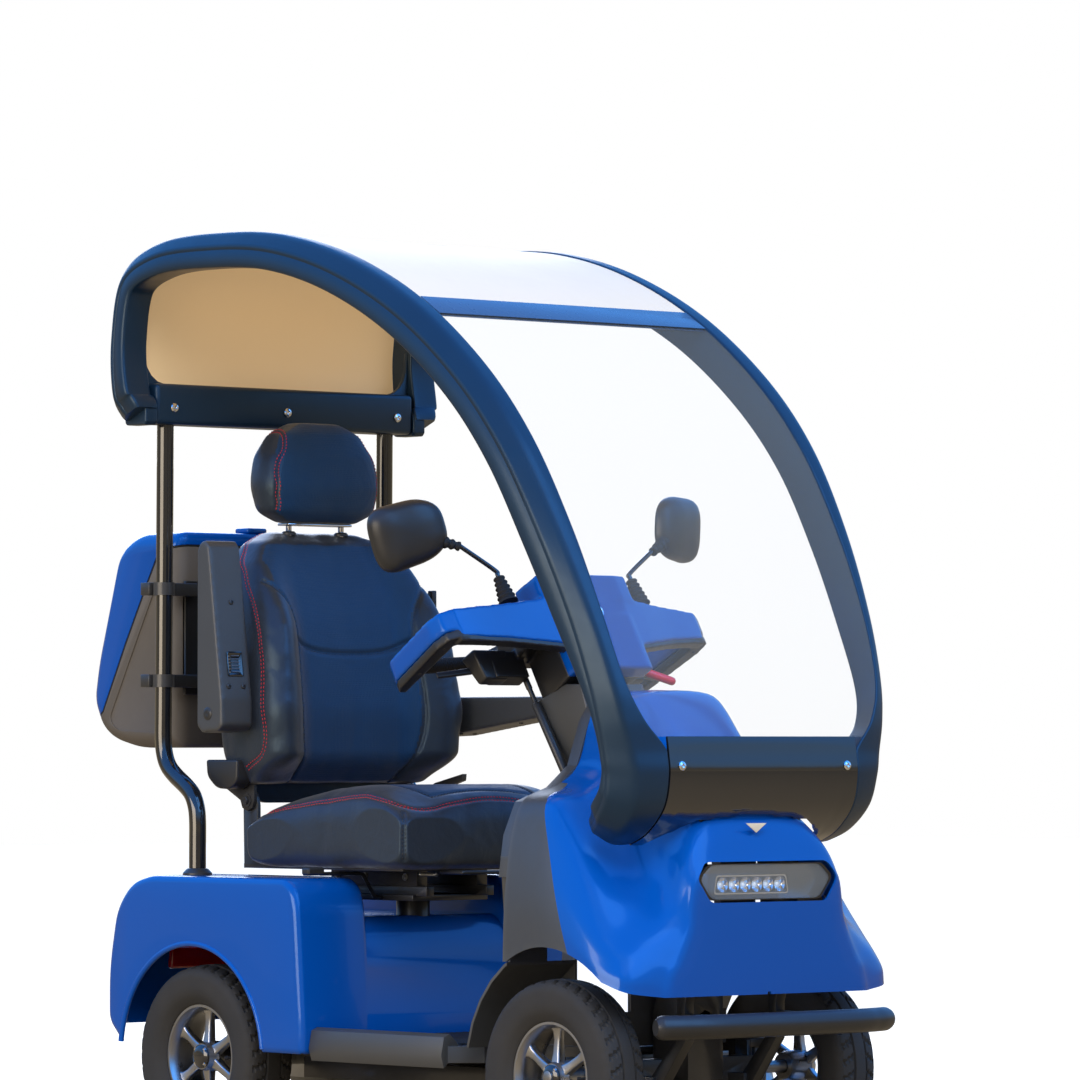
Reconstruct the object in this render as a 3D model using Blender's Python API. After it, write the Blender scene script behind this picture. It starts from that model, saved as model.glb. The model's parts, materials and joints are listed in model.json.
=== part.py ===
"""Four-wheel mobility scooter with a canopy, a swivel seat, a rear box and a folding tiller.

Units are metres. +X points ahead, +Y to the rider's left and +Z up. The origin is on the ground,
under the middle of the scooter's length and width.
"""
import math

import bmesh
import bpy
from mathutils import Matrix, Vector

# ---------------------------------------------------------------- driving dimensions
GAP = 0.0003                      # between pieces that rest on each other

WHEEL_RADIUS = 0.185
REAR_AXLE_X = -0.42
FRONT_AXLE_X = 0.63
REAR_WHEEL_Y = 0.300
FRONT_WHEEL_Y = 0.305
REAR_TYRE_WIDTH = 0.120
FRONT_TYRE_WIDTH = 0.100
RIM_RADIUS = 0.105
KINGPIN_Y = 0.205
ARCH_RADIUS = 0.245

RAIL_Y = 0.120
RAIL_TOP = 0.180
DECK_BOTTOM = 0.200
DECK_TOP = 0.232
DECK_FRONT = 0.375

BODY_HALF_WIDTH = 0.368
SHELL_WALL = 0.005
REAR_POD_TOP = 0.548
REAR_WELL_TOP = 0.470
WELL_HALF_WIDTH = 0.185
SHROUD_REAR_X = 0.500

SEAT_POST = Vector((-0.160, 0.0, 0.500))     # top of the pedestal, on the swivel axis
PAN_BOTTOM = 0.5625
PAN_TOP = 0.5715
CUSHION_HALF_WIDTH = 0.250
RECLINE_PIVOT = Vector((-0.425, 0.0, 0.700))
BRACKET_Y = 0.200
PLATE = 0.008

HEADREST_POST_X = -0.470
HEADREST_POST_Y = 0.070

ARM_PIVOT_X = -0.388
ARM_PIVOT_Z = 0.875
ARM_INNER_Y = 0.268
ARM_WIDTH = 0.068
ARM_LENGTH = 0.385

TUBE_RADIUS = 0.0175
CANOPY_TUBE_Y = 0.295
REAR_PANEL_BOTTOM = 1.466
REAR_PANEL_TOP = 1.549
FRONT_PANEL_TOP = 0.829
FRONT_PANEL_HALF_WIDTH = 0.247
STRIP_X = (0.283, 0.305)          # gap between roof sheet and windshield, under the cross strip

BOX_HALF_WIDTH = 0.222
BOX_WALL = 0.005
LID_HINGE = Vector((-0.912, 0.0, 0.842))

TILT_PIVOT = Vector((0.475, 0.0, 0.700))
BEARING_DROP = 0.400              # from the tilt pivot down the stem to its bearing
STEER_LEAN = math.radians(25)     # steering axis, back from the vertical
HEAD_ORIGIN = Vector((0.360, 0.0, 1.030))
HEAD_TILT = math.radians(30)      # how far the handlebar plane drops towards the rider

MIRROR_BASE = Vector((0.318, 0.176, 1.105))
MIRROR_JOINT = Vector((0.273, 0.262, 1.203))
MIRROR_CENTRE = Vector((0.236, 0.362, 1.240))
MIRROR_TOE = math.radians(20)

# ---------------------------------------------------------------- materials
PAINTS = {
    "blue_paint": ((0.010, 0.110, 0.560), 0.18, 0.0),
    "canopy_plastic": ((0.018, 0.024, 0.038), 0.40, 0.0),
    "roof_sheet": ((0.780, 0.740, 0.660), 0.45, 0.0),
    "windshield": ((0.850, 0.900, 0.950), 0.05, 0.0),
    "gloss_black": ((0.012, 0.015, 0.022), 0.12, 0.0),
    "satin_black": ((0.020, 0.022, 0.026), 0.35, 0.0),
    "frame_paint": ((0.022, 0.024, 0.028), 0.38, 0.0),
    "dark_trim": ((0.045, 0.052, 0.060), 0.50, 0.0),
    "box_grey": ((0.085, 0.075, 0.065), 0.55, 0.0),
    "leather": ((0.028, 0.028, 0.032), 0.45, 0.0),
    "soft_grip": ((0.015, 0.015, 0.016), 0.75, 0.0),
    "tyre_rubber": ((0.020, 0.020, 0.020), 0.80, 0.0),
    "rim_alloy": ((0.300, 0.310, 0.330), 0.35, 1.0),
    "steel": ((0.420, 0.430, 0.440), 0.30, 1.0),
    "chrome": ((0.800, 0.810, 0.830), 0.08, 1.0),
    "red_sleeve": ((0.700, 0.020, 0.060), 0.35, 0.0),
    "red_lens": ((0.550, 0.010, 0.010), 0.15, 0.0),
    "clear_lens": ((0.750, 0.820, 0.900), 0.08, 0.0),
    "battery_case": ((0.060, 0.060, 0.065), 0.55, 0.0),
}


def paint(name):
    """The Principled material of one slot, made on its first use."""
    if name in bpy.data.materials:
        return bpy.data.materials[name]
    colour, roughness, metallic = PAINTS[name]
    material = bpy.data.materials.new(name)
    material.use_nodes = True
    shader = material.node_tree.nodes["Principled BSDF"]
    shader.inputs["Base Color"].default_value = (*colour, 1.0)
    shader.inputs["Roughness"].default_value = roughness
    shader.inputs["Metallic"].default_value = metallic
    return material


# ---------------------------------------------------------------- modelling helpers
def solid(name, vertices, faces, slot):
    """One closed mesh object with its faces pointing out."""
    mesh = bpy.data.meshes.new(name)
    mesh.from_pydata([tuple(v) for v in vertices], [], faces)
    shape = bmesh.new()
    shape.from_mesh(mesh)
    bmesh.ops.recalc_face_normals(shape, faces=shape.faces)
    shape.to_mesh(mesh)
    shape.free()
    mesh.materials.append(paint(slot))
    body = bpy.data.objects.new(name, mesh)
    bpy.context.scene.collection.objects.link(body)
    return body


def prism(name, outline, axis, low, high, slot):
    """A flat outline pushed along an axis: (y, z) for X, (x, z) for Y, (x, y) for Z."""
    def place(point, depth):
        first, second = point
        return {"X": (depth, first, second), "Y": (first, depth, second), "Z": (first, second, depth)}[axis]

    count = len(outline)
    vertices = [place(p, low) for p in outline] + [place(p, high) for p in outline]
    faces = [tuple(range(count)), tuple(range(count, 2 * count))]
    faces += [(i, (i + 1) % count, count + (i + 1) % count, count + i) for i in range(count)]
    return solid(name, vertices, faces, slot)


def block(name, low, high, slot, bevel=0.0, segments=1):
    """A box between two corners, with all its edges rounded."""
    low, high = Vector(low), Vector(high)
    shape = bmesh.new()
    bmesh.ops.create_cube(shape, size=1.0)
    for vertex in shape.verts:
        vertex.co = (low + high) / 2 + Vector(c * s for c, s in zip(vertex.co, high - low))
    if bevel:
        bmesh.ops.bevel(shape, geom=shape.edges[:], offset=bevel, segments=segments,
                        affect="EDGES", profile=0.5)
    mesh = bpy.data.meshes.new(name)
    shape.to_mesh(mesh)
    shape.free()
    mesh.materials.append(paint(slot))
    body = bpy.data.objects.new(name, mesh)
    bpy.context.scene.collection.objects.link(body)
    return body


def loft(name, rings, slot):
    """A skin over rings of points, closed by a cap at each end."""
    count = len(rings[0])
    vertices = [point for ring in rings for point in ring]
    faces = [tuple(range(count)), tuple(range(len(vertices) - count, len(vertices)))]
    for level in range(len(rings) - 1):
        start = level * count
        for i in range(count):
            j = (i + 1) % count
            faces.append((start + i, start + j, start + count + j, start + count + i))
    return solid(name, vertices, faces, slot)


def tube(name, points, radius, slot, sides=10):
    """A round bar along a route, with mitred corners."""
    points = [Vector(p) for p in points]
    rings = []
    side = None
    for index, point in enumerate(points):
        before = (point - points[index - 1]).normalized() if index else None
        after = (points[index + 1] - point).normalized() if index + 1 < len(points) else None
        heading = ((before or after) + (after or before)).normalized()
        if side is None:
            side = heading.orthogonal().normalized()
        side = (side - heading * side.dot(heading)).normalized()
        other = heading.cross(side)
        bend = (after - before) if before and after else Vector()
        stretch = 1.0 / max(0.5, heading.dot(after or before))
        bend_way = bend.normalized() if bend.length > 1e-6 else Vector()
        ring = []
        for step in range(sides):
            angle = 2 * math.pi * step / sides
            offset = (side * math.cos(angle) + other * math.sin(angle)) * radius
            offset += bend_way * offset.dot(bend_way) * (stretch - 1.0)
            ring.append(point + offset)
        rings.append(ring)
    return loft(name, rings, slot)


def turned(name, profile, centre, axis, slot, sides=24):
    """A closed profile of (radius, height) points turned about an axis; radius 0 lies on it."""
    turn = Vector((0, 0, 1)).rotation_difference(Vector(axis)).to_matrix()
    vertices = []
    rows = []
    for radius, height in profile:
        if radius == 0:
            rows.append([len(vertices)] * sides)
            vertices.append(Vector(centre) + turn @ Vector((0, 0, height)))
            continue
        rows.append(list(range(len(vertices), len(vertices) + sides)))
        for step in range(sides):
            angle = 2 * math.pi * step / sides
            spoke = Vector((radius * math.cos(angle), radius * math.sin(angle), height))
            vertices.append(Vector(centre) + turn @ spoke)
    faces = []
    for index, row in enumerate(rows):
        following = rows[(index + 1) % len(rows)]
        for step in range(sides):
            after = (step + 1) % sides
            corners = [row[step], row[after], following[after], following[step]]
            corners = list(dict.fromkeys(corners))
            if len(corners) > 2:
                faces.append(tuple(corners))
    return solid(name, vertices, faces, slot)


def rod(name, start, end, radius, slot, sides=12):
    """A round bar between two points."""
    return tube(name, [start, end], radius, slot, sides)


def combine(target, operation, *tools):
    """Boolean with each tool in turn; the tools are used up."""
    for tool in tools:
        modifier = target.modifiers.new("combine", "BOOLEAN")
        modifier.operation = operation
        modifier.solver = "EXACT"
        modifier.object = tool
        bpy.context.view_layer.objects.active = target
        bpy.ops.object.modifier_apply(modifier=modifier.name)
        bpy.data.objects.remove(tool)
    return target


def join(target, *tools):
    return combine(target, "UNION", *tools)


def cut(target, *tools):
    return combine(target, "DIFFERENCE", *tools)


def arc(centre, radius, start, end, steps):
    """Points on a circle, angles in degrees."""
    angles = [math.radians(start + (end - start) * i / steps) for i in range(steps + 1)]
    return [(centre[0] + radius * math.cos(a), centre[1] + radius * math.sin(a)) for a in angles]


SIDES = (("right", -1), ("left", 1))


# ---------------------------------------------------------------- chassis and running gear
def chassis_frame():
    """Rails, cross members, seat pedestal, axle beams and the canopy's carriers, welded up."""
    frame = block("chassis_frame", (-0.32, -0.020, 0.142), (0.690, 0.020, 0.178), "frame_paint")
    for side in (-1, 1):
        y = side * RAIL_Y
        join(frame, block("rail", (-0.335, y - 0.02, 0.14), (0.700, y + 0.02, RAIL_TOP), "frame_paint"))
        join(frame, block("upright", (-0.334, y - 0.019, 0.15), (-0.306, y + 0.019, 0.33), "frame_paint"))
        join(frame, block("rear_rail", (-0.62, y - 0.018, 0.302), (-0.125, y + 0.018, 0.338), "frame_paint"))
        join(frame, block("tube_post", (-0.505, y - 0.016, 0.32), (-0.469, y + 0.016, 0.43), "frame_paint"))
        carrier = [(0.66, 0.150), (0.70, 0.146), (0.780, 0.250), (0.780, 0.320), (0.812, 0.420), (0.822, 0.700),
                   (0.822, 0.760), (0.804, 0.760), (0.802, 0.700), (0.790, 0.420), (0.758, 0.330), (0.758, 0.260)]
        join(frame, prism("carrier", carrier, "Y", y - 0.012, y + 0.012, "frame_paint"))
    for x in (-0.315, 0.10, 0.40):
        join(frame, block("cross", (x - 0.013, -0.11, 0.145), (x + 0.013, 0.11, 0.175), "frame_paint"))
    join(frame, block("tube_carrier", (-0.507, -0.315, 0.412), (-0.467, 0.315, 0.440), "frame_paint"))
    join(frame, block("rear_cross", (-0.615, -0.11, 0.305), (-0.59, 0.11, 0.335), "frame_paint"))
    join(frame, block("post_cross", (-0.205, -0.11, 0.304), (-0.128, 0.11, 0.336), "frame_paint"))
    join(frame, block("front_beam", (0.605, -0.174, 0.160), (0.655, 0.174, 0.210), "frame_paint"))
    join(frame, block("panel_bar", (0.806, -0.245, 0.742), (0.836, 0.245, 0.762), "frame_paint"))
    for side in (-1, 1):
        low, high = sorted((side * 0.160, side * 0.172))
        join(frame, block("kingpin_web", (0.613, low, 0.124), (0.647, high, 0.240), "frame_paint"))
        low, high = sorted((side * 0.168, side * 0.224))
        for height in (0.122, 0.226):
            join(frame, block("kingpin_ear", (0.612, low, height), (0.648, high, height + 0.016), "frame_paint"))
    post = turned("post", [(0, 0.32), (0.034, 0.32), (0.034, 0.50), (0.0265, 0.50), (0.0265, 0.40), (0, 0.40)],
                  (SEAT_POST.x, 0, 0), (0, 0, 1), "frame_paint", 20)
    join(frame, post)
    along = steer_direction()
    bearing = TILT_PIVOT - along * BEARING_DROP
    outline = [(0.600, 0.170), (0.698, 0.170), (0.698, 0.330), (0.668, 0.372), (0.618, 0.349), (0.600, 0.300)]
    bearing_seat = prism("stay", outline, "Y", -0.046, 0.046, "frame_paint")
    cut(bearing_seat, rod("drill", bearing - along * 0.070, bearing + along * 0.10, 0.035, "frame_paint", 16))
    collar = turned("collar", [(0.040, -0.03), (0.040, 0.03), (0.024, 0.03), (0.024, -0.03)], bearing, along,
                    "frame_paint", 16)
    return join(frame, bearing_seat, collar)


def steer_direction():
    return Vector((-math.sin(STEER_LEAN), 0, math.cos(STEER_LEAN)))


def transaxle():
    """Gearbox, motor and axle tube between the rear wheels."""
    axle = rod("transaxle", (REAR_AXLE_X, -0.232, WHEEL_RADIUS), (REAR_AXLE_X, 0.232, WHEEL_RADIUS),
               0.024, "steel", 16)
    join(axle, rod("stub", (REAR_AXLE_X, -0.345, WHEEL_RADIUS), (REAR_AXLE_X, 0.345, WHEEL_RADIUS),
                   0.012, "steel", 16))
    join(axle, block("gearbox", (-0.50, -0.060, 0.115), (-0.34, 0.060, 0.265), "steel", 0.018))
    join(axle, rod("motor", (-0.485, 0.0, 0.230), (-0.600, 0.0, 0.230), 0.055, "steel", 14))
    for side in (-1, 1):
        join(axle, block("hanger", (-0.445, side * 0.125 - 0.015, 0.17),
                         (-0.395, side * 0.125 + 0.015, 0.302 - GAP), "steel"))
    return axle


def battery_pack():
    """Sealed battery tray under the seat, between the rails' two levels."""
    return block("battery_pack", (-0.298, -0.186, 0.1855), (-0.092, 0.186, 0.2985), "battery_case", 0.006)


def tyre(name, x, y, width):
    half = width / 2
    profile = [(RIM_RADIUS, -half * 0.72), (0.135, -half * 0.98), (0.163, -half), (0.181, -half * 0.72),
               (WHEEL_RADIUS, -half * 0.25), (WHEEL_RADIUS, half * 0.25), (0.181, half * 0.72),
               (0.163, half), (0.135, half * 0.98), (RIM_RADIUS, half * 0.72)]
    return turned(name, profile, (x, y, WHEEL_RADIUS), (0, 1, 0), "tyre_rubber", 20)


def rim(name, x, y, width, outward):
    """Barrel, disc and hub in one turned piece."""
    half = width / 2 * 0.70
    lip = RIM_RADIUS - GAP
    disc = outward * half * 0.45
    profile = [(lip, -half), (lip, half), (lip - 0.012, half), (lip - 0.012, disc + 0.006),
               (0.030, disc + 0.006), (0.030, half * 0.9), (0.0130, half * 0.9), (0.0130, -half * 0.9),
               (0.030, -half * 0.9), (0.030, disc - 0.006), (lip - 0.012, disc - 0.006), (lip - 0.012, -half)]
    return turned(name, profile, (x, y, WHEEL_RADIUS), (0, 1, 0), "rim_alloy", 20)


def knuckle(name, side):
    """Kingpin, stub axle and steering arm."""
    centre = Vector((FRONT_AXLE_X, side * KINGPIN_Y, WHEEL_RADIUS))
    upright = rod(name, centre - Vector((0, 0, 0.0465)), centre + Vector((0, 0, 0.0405)), 0.016, "steel", 12)
    join(upright, rod("stub", centre, centre + Vector((0, side * 0.143, 0)), 0.012, "steel", 16))
    arm = [(FRONT_AXLE_X - 0.112, side * KINGPIN_Y - 0.010), (FRONT_AXLE_X, side * KINGPIN_Y - 0.012),
           (FRONT_AXLE_X, side * KINGPIN_Y + 0.012), (FRONT_AXLE_X - 0.112, side * KINGPIN_Y + 0.010)]
    return join(upright, prism("arm", arm, "Z", 0.190, 0.198, "steel"))


def tie_rod():
    """Joins the two steering arms, just above them."""
    x = FRONT_AXLE_X - 0.100
    bar = block("tie_rod", (x - 0.008, -0.215, 0.1984 + GAP), (x + 0.008, 0.215, 0.2144), "steel")
    return bar


# ---------------------------------------------------------------- floor and body panels
def floor_deck():
    """Footboard with raised edges, narrowing between the front wheels."""
    outline = [(-0.068, -0.335), (0.33, -0.335), (DECK_FRONT, -0.28), (DECK_FRONT, -0.150), (0.575, -0.145),
               (0.575, 0.145), (DECK_FRONT, 0.150), (DECK_FRONT, 0.28), (0.33, 0.335), (-0.068, 0.335)]
    deck = prism("floor_deck", outline, "Z", DECK_BOTTOM, DECK_TOP, "dark_trim")
    for side in (-1, 1):
        sill = [(side * 0.30, 0.225), (side * 0.345, 0.190), (side * 0.352, 0.215), (side * 0.345, 0.250),
                (side * 0.33, 0.256), (side * 0.312, 0.240)]
        join(deck, prism("sill", sill, "X", -0.067, 0.33, "dark_trim"))
    cut(deck, block("beam_slot", (0.515, -0.30, 0.10), (0.70, 0.30, 0.222), "dark_trim"))
    return deck


def rear_profile(top, inset):
    """Side outline of the rear body, (x, z), with the given height."""
    return [(-0.069 - inset, 0.20 - 2 * inset), (-0.069 - inset, 0.26), (-0.086 - inset, top - 0.06),
            (-0.098 - inset, top - 0.02 - inset), (-0.125, top - inset), (-0.560, top - inset),
            (-0.620 + inset, top - 0.018 - inset), (-0.665 + inset, top - 0.070),
            (-0.690 + inset, 0.36), (-0.690 + inset, 0.25 - 2 * inset), (-0.640, 0.20 - 2 * inset)]


def rear_body():
    """Blue moulding over the rear wheels, with a well for the seat's swivel between two pods."""
    def shape(name, inset):
        hull = prism(name, rear_profile(REAR_WELL_TOP, inset), "Y", -0.2, 0.2, "blue_paint")
        for side in (-1, 1):
            outer = BODY_HALF_WIDTH - inset
            inner = WELL_HALF_WIDTH + inset
            low, high = sorted((side * inner, side * outer))
            join(hull, prism("pod", rear_profile(REAR_POD_TOP, inset), "Y", low, high, "blue_paint"))
        return hull

    body = cut(shape("rear_body", 0.0), shape("hollow", SHELL_WALL))
    for side in (-1, 1):
        arch = arc((REAR_AXLE_X, WHEEL_RADIUS), ARCH_RADIUS - 0.02, -60, 240, 14)
        low, high = sorted((side * 0.34, side * 0.40))
        cut(body, prism("arch", arch, "Y", low, high, "blue_paint"))
        cut(body, rod("tube_hole", (-0.487, side * CANOPY_TUBE_Y, 0.50), (-0.487, side * CANOPY_TUBE_Y, 0.60),
                      TUBE_RADIUS + 0.002, "blue_paint", 12))
    cut(body, rod("post_hole", (SEAT_POST.x, 0, 0.44), (SEAT_POST.x, 0, 0.50), 0.037, "blue_paint", 16))
    lamp = block("lamp_seat", (-0.70, -0.215, 0.352), (-0.660, 0.215, 0.398), "blue_paint")
    return cut(body, lamp)


def tail_light():
    return block("tail_light", (-0.6975, -0.2145, 0.3525), (-0.6705, 0.2145, 0.3975), "red_lens", 0.004)


def shroud_rings(inset):
    """Cross-sections of the front shroud: x, then the (y, z) points from its crown to its hem."""
    sections = [
        (0.500, [(0.085, 0.912), (0.120, 0.860), (0.150, 0.775), (0.205, 0.735), (0.290, 0.708), (0.322, 0.640),
                 (0.340, 0.520), (0.345, 0.400)]),
        (0.590, [(0.085, 0.912), (0.120, 0.865), (0.155, 0.770), (0.210, 0.725), (0.300, 0.705), (0.330, 0.630),
                 (0.350, 0.520), (0.355, 0.400)]),
        (0.645, [(0.070, 0.903), (0.110, 0.860), (0.150, 0.750), (0.205, 0.680), (0.300, 0.655), (0.338, 0.580),
                 (0.356, 0.500), (0.362, 0.400)]),
        (0.720, [(0.055, 0.828), (0.105, 0.790), (0.150, 0.700), (0.200, 0.600), (0.300, 0.565), (0.345, 0.505),
                 (0.360, 0.450), (0.364, 0.390)]),
        (0.790, [(0.055, 0.725), (0.120, 0.700), (0.160, 0.640), (0.195, 0.540), (0.290, 0.485), (0.340, 0.440),
                 (0.356, 0.400), (0.360, 0.370)]),
        (0.842, [(0.060, 0.655), (0.125, 0.645), (0.165, 0.600), (0.190, 0.500), (0.260, 0.440), (0.310, 0.410),
                 (0.335, 0.380), (0.340, 0.350)]),
        (0.868, [(0.060, 0.590), (0.125, 0.585), (0.155, 0.560), (0.172, 0.480), (0.215, 0.420), (0.250, 0.390),
                 (0.265, 0.360), (0.268, 0.340)]),
    ]
    rings = []
    for index, (x, half) in enumerate(sections):
        if inset:
            x -= inset if index == len(sections) - 1 else 0.0
            half = [(max(y - inset, 0.01), z - inset) for y, z in half]
            half[-1] = (half[-1][0], 0.25)
        ring = [(x, -y, z) for y, z in reversed(half)] + [(x, y, z) for y, z in half]
        rings.append(ring)
    if inset:
        rings.insert(0, [(SHROUD_REAR_X - 0.02, y, z) for _, y, z in rings[0]])
    return rings


def front_shroud():
    """Blue nose and front wings: a thin shell, open behind and below."""
    shell = loft("front_shroud", shroud_rings(0.0), "blue_paint")
    cut(shell, loft("hollow", shroud_rings(SHELL_WALL), "blue_paint"))
    arch = arc((FRONT_AXLE_X, WHEEL_RADIUS), ARCH_RADIUS, -60, 240, 16)
    cut(shell, prism("arch", arch, "Y", -0.45, 0.45, "blue_paint"))
    for side in (-1, 1):
        cut(shell, block("carrier_slot", (0.775, side * RAIL_Y - 0.016, 0.60),
                         (0.845, side * RAIL_Y + 0.016, 0.80), "blue_paint"))
    lamp = [(-0.133, 0.592), (-0.153, 0.560), (-0.126, 0.515), (0.126, 0.515), (0.153, 0.560), (0.133, 0.592)]
    return cut(shell, prism("lamp_opening", lamp, "X", 0.80, 0.90, "blue_paint"))


def headlight_lens():
    """Clear lens with the lamp bowl behind it, set in the nose."""
    outline = [(-0.124, 0.588), (-0.149, 0.560), (-0.122, 0.519), (0.122, 0.519), (0.149, 0.560), (0.124, 0.588)]
    return prism("headlight_lens", outline, "X", 0.828, 0.866, "clear_lens")


def leg_shield():
    """Panel that faces the rider's legs, its knee trims and the housings round the front wheels."""
    x = SHROUD_REAR_X - GAP
    half = [(0.088, 0.905), (0.122, 0.858), (0.153, 0.773), (0.207, 0.731), (0.288, 0.704), (0.318, 0.640),
            (0.330, 0.560), (0.290, 0.560), (0.230, 0.590), (0.150, 0.600), (0.103, 0.590)]
    parts = []
    for side in (-1, 1):
        parts.append(prism("knee_trim", [(side * y, z) for y, z in half], "X", x - 0.028, x, "dark_trim"))
        low, high = sorted((side * 0.100, side * 0.158))
        panel = [(0.580, DECK_TOP + 0.001), (0.590, DECK_TOP + 0.001), (0.594, 0.520), (x, 0.605), (x - 0.02, 0.605),
                 (0.582, 0.515)]
        parts.append(prism("foot_panel", panel, "Y", low, high, "dark_trim"))
        low, high = sorted((side * 0.152, side * 0.158))
        wall = [(0.377, DECK_TOP + 0.001), (0.590, DECK_TOP + 0.001), (0.593, 0.520), (x, 0.603), (0.473, 0.600),
                (0.462, 0.395), (0.400, 0.330)]
        parts.append(prism("house_wall", wall, "Y", low, high, "dark_trim"))
        low, high = sorted((side * 0.153, side * 0.334))
        centre = (FRONT_AXLE_X, WHEEL_RADIUS)
        house = arc(centre, ARCH_RADIUS + 0.006, 101, 169, 6) + arc(centre, ARCH_RADIUS, 169, 101, 6)
        parts.append(prism("wheel_house", house, "Y", low, high, "dark_trim"))
        low, high = sorted((side * 0.230, side * 0.325))
        neck = [(x, 0.60), (x - 0.028, 0.60), (x - 0.010, 0.40), (x + 0.03, 0.39), (x + 0.03, 0.43), (x, 0.46)]
        parts.append(prism("neck", neck, "Y", low, high, "dark_trim"))
    shield = parts[0]
    shield.name = "leg_shield"
    join(shield, block("bridge", (0.581, -0.11, DECK_TOP + 0.0015), (0.5895, 0.11, 0.352), "dark_trim"))
    join(shield, *parts[1:])
    for side in (-1, 1):
        inside = [(side * y, z) for y, z in [(0.095, 0.56), (0.345, 0.56), (0.345, 0.30), (0.095, 0.30)]]
        cut(shield, prism("wing_clearance", inside, "X", x, x + 0.2, "dark_trim"))
    return shield


def front_bumper():
    """Moulded bumper bar on two arms from the rails."""
    bar = tube("front_bumper", [(0.884, -0.305, 0.285), (0.903, -0.250, 0.285), (0.917, -0.150, 0.285),
                                (0.917, 0.150, 0.285), (0.903, 0.250, 0.285), (0.884, 0.305, 0.285)],
               0.0230, "satin_black", 10)
    for side in (-1, 1):
        y = side * RAIL_Y
        join(bar, block("arm", (0.780 + GAP, y - 0.0115, 0.268), (0.905, y + 0.0115, 0.302), "satin_black"))
    return bar


# ---------------------------------------------------------------- canopy
# Stations along a side frame from its rear foot to its front hook: the crown's x and z, the bar's
# depth, the outer, bevel and inner widths, and how far the outer side is swept back.
CANOPY_STATIONS = [
    (-0.618, 1.470, 0.075, 0.405, 0.385, 0.345, 0.000),
    (-0.637, 1.519, 0.072, 0.420, 0.395, 0.355, 0.000),
    (-0.643, 1.640, 0.066, 0.420, 0.395, 0.355, 0.000),
    (-0.607, 1.772, 0.066, 0.420, 0.395, 0.355, 0.000),
    (-0.490, 1.829, 0.070, 0.420, 0.395, 0.355, 0.000),
    (-0.300, 1.838, 0.072, 0.420, 0.395, 0.355, 0.000),
    (-0.110, 1.823, 0.073, 0.420, 0.395, 0.355, 0.000),
    (0.090, 1.768, 0.075, 0.420, 0.395, 0.355, 0.000),
    (0.290, 1.672, 0.078, 0.420, 0.395, 0.355, 0.000),
    (0.468, 1.540, 0.080, 0.420, 0.395, 0.355, 0.000),
    (0.600, 1.398, 0.082, 0.416, 0.392, 0.355, 0.004),
    (0.705, 1.230, 0.084, 0.405, 0.384, 0.352, 0.010),
    (0.782, 1.070, 0.080, 0.388, 0.372, 0.346, 0.016),
    (0.830, 0.940, 0.064, 0.374, 0.358, 0.332, 0.022),
    (0.851, 0.862, 0.052, 0.364, 0.344, 0.300, 0.028),
    (0.860, 0.800, 0.048, 0.354, 0.328, 0.2475, 0.032),
    (0.864, 0.755, 0.050, 0.348, 0.320, 0.2475, 0.036),
    (0.850, 0.696, 0.060, 0.344, 0.312, 0.2475, 0.036),
    (0.805, 0.648, 0.064, 0.334, 0.302, 0.2475, 0.034),
    (0.752, 0.622, 0.054, 0.312, 0.284, 0.2475, 0.028),
]


def crown_at(t):
    """Smooth station at position t along the frame, with the bar's inward direction there."""
    index = min(int(t), len(CANOPY_STATIONS) - 2)
    rows = [CANOPY_STATIONS[max(0, min(index + k, len(CANOPY_STATIONS) - 1))] for k in (-1, 0, 1, 2)]
    s = t - index
    row = [0.5 * (2 * b + (c - a) * s + (2 * a - 5 * b + 4 * c - d) * s * s + (3 * b - a - 3 * c + d) * s ** 3)
           for a, b, c, d in zip(*rows)]
    slope = [0.5 * ((c - a) + 2 * (2 * a - 5 * b + 4 * c - d) * s + 3 * (3 * b - a - 3 * c + d) * s * s)
             for a, b, c, d in zip(*rows)]
    row[5] = max(row[5], FRONT_PANEL_HALF_WIDTH + 0.0005)
    along = Vector((slope[0], 0, slope[1])).normalized()
    return row, Vector((along.z, 0, -along.x))


def crown_where(column, value, low, high):
    """Position along the frame, between two stations, where a column reaches a value."""
    rising = crown_at(high)[0][column] > crown_at(low)[0][column]
    for _ in range(30):
        middle = (low + high) / 2
        if (crown_at(middle)[0][column] < value) == rising:
            low = middle
        else:
            high = middle
    return low


def crown_span(start, end):
    """The half-station rows between two positions, with the two end rows between them."""
    rows = [crown_at(k / 2) for k in range(math.ceil(2 * start + 0.02), math.floor(2 * end - 0.02) + 1)]
    for position, place in ((start, 0), (end, len(rows))):
        below = math.floor(2 * position) / 2
        (first, inward), (second, _) = crown_at(below), crown_at(min(below + 0.5, len(CANOPY_STATIONS) - 1))
        share = (position - below) * 2
        mixed = [a + (b - a) * share for a, b in zip(first, second)]
        rows.insert(place if place == 0 else len(rows), (mixed, crown_at(position)[1]))
    return rows


def canopy_side(name, side):
    """Side frame: side face, bevel, crown and inner face."""
    rings = []
    last = len(CANOPY_STATIONS) - 1
    for (x, z, depth, outer, bevel, inner, sweep), inward in [crown_at(k / 2) for k in range(2 * last + 1)]:
        crown = Vector((x, 0, z))
        back = Vector((-sweep, 0, 0))
        ring = [crown + inward * depth + back, crown + inward * 0.028 + back, crown + back * 0.45,
                crown, crown + inward * depth * 0.98]
        widths = [outer, outer, bevel, inner, inner]
        rings.append([p + Vector((0, side * y, 0)) for p, y in zip(ring, widths)])
    return loft(name, rings, "canopy_plastic")


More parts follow.
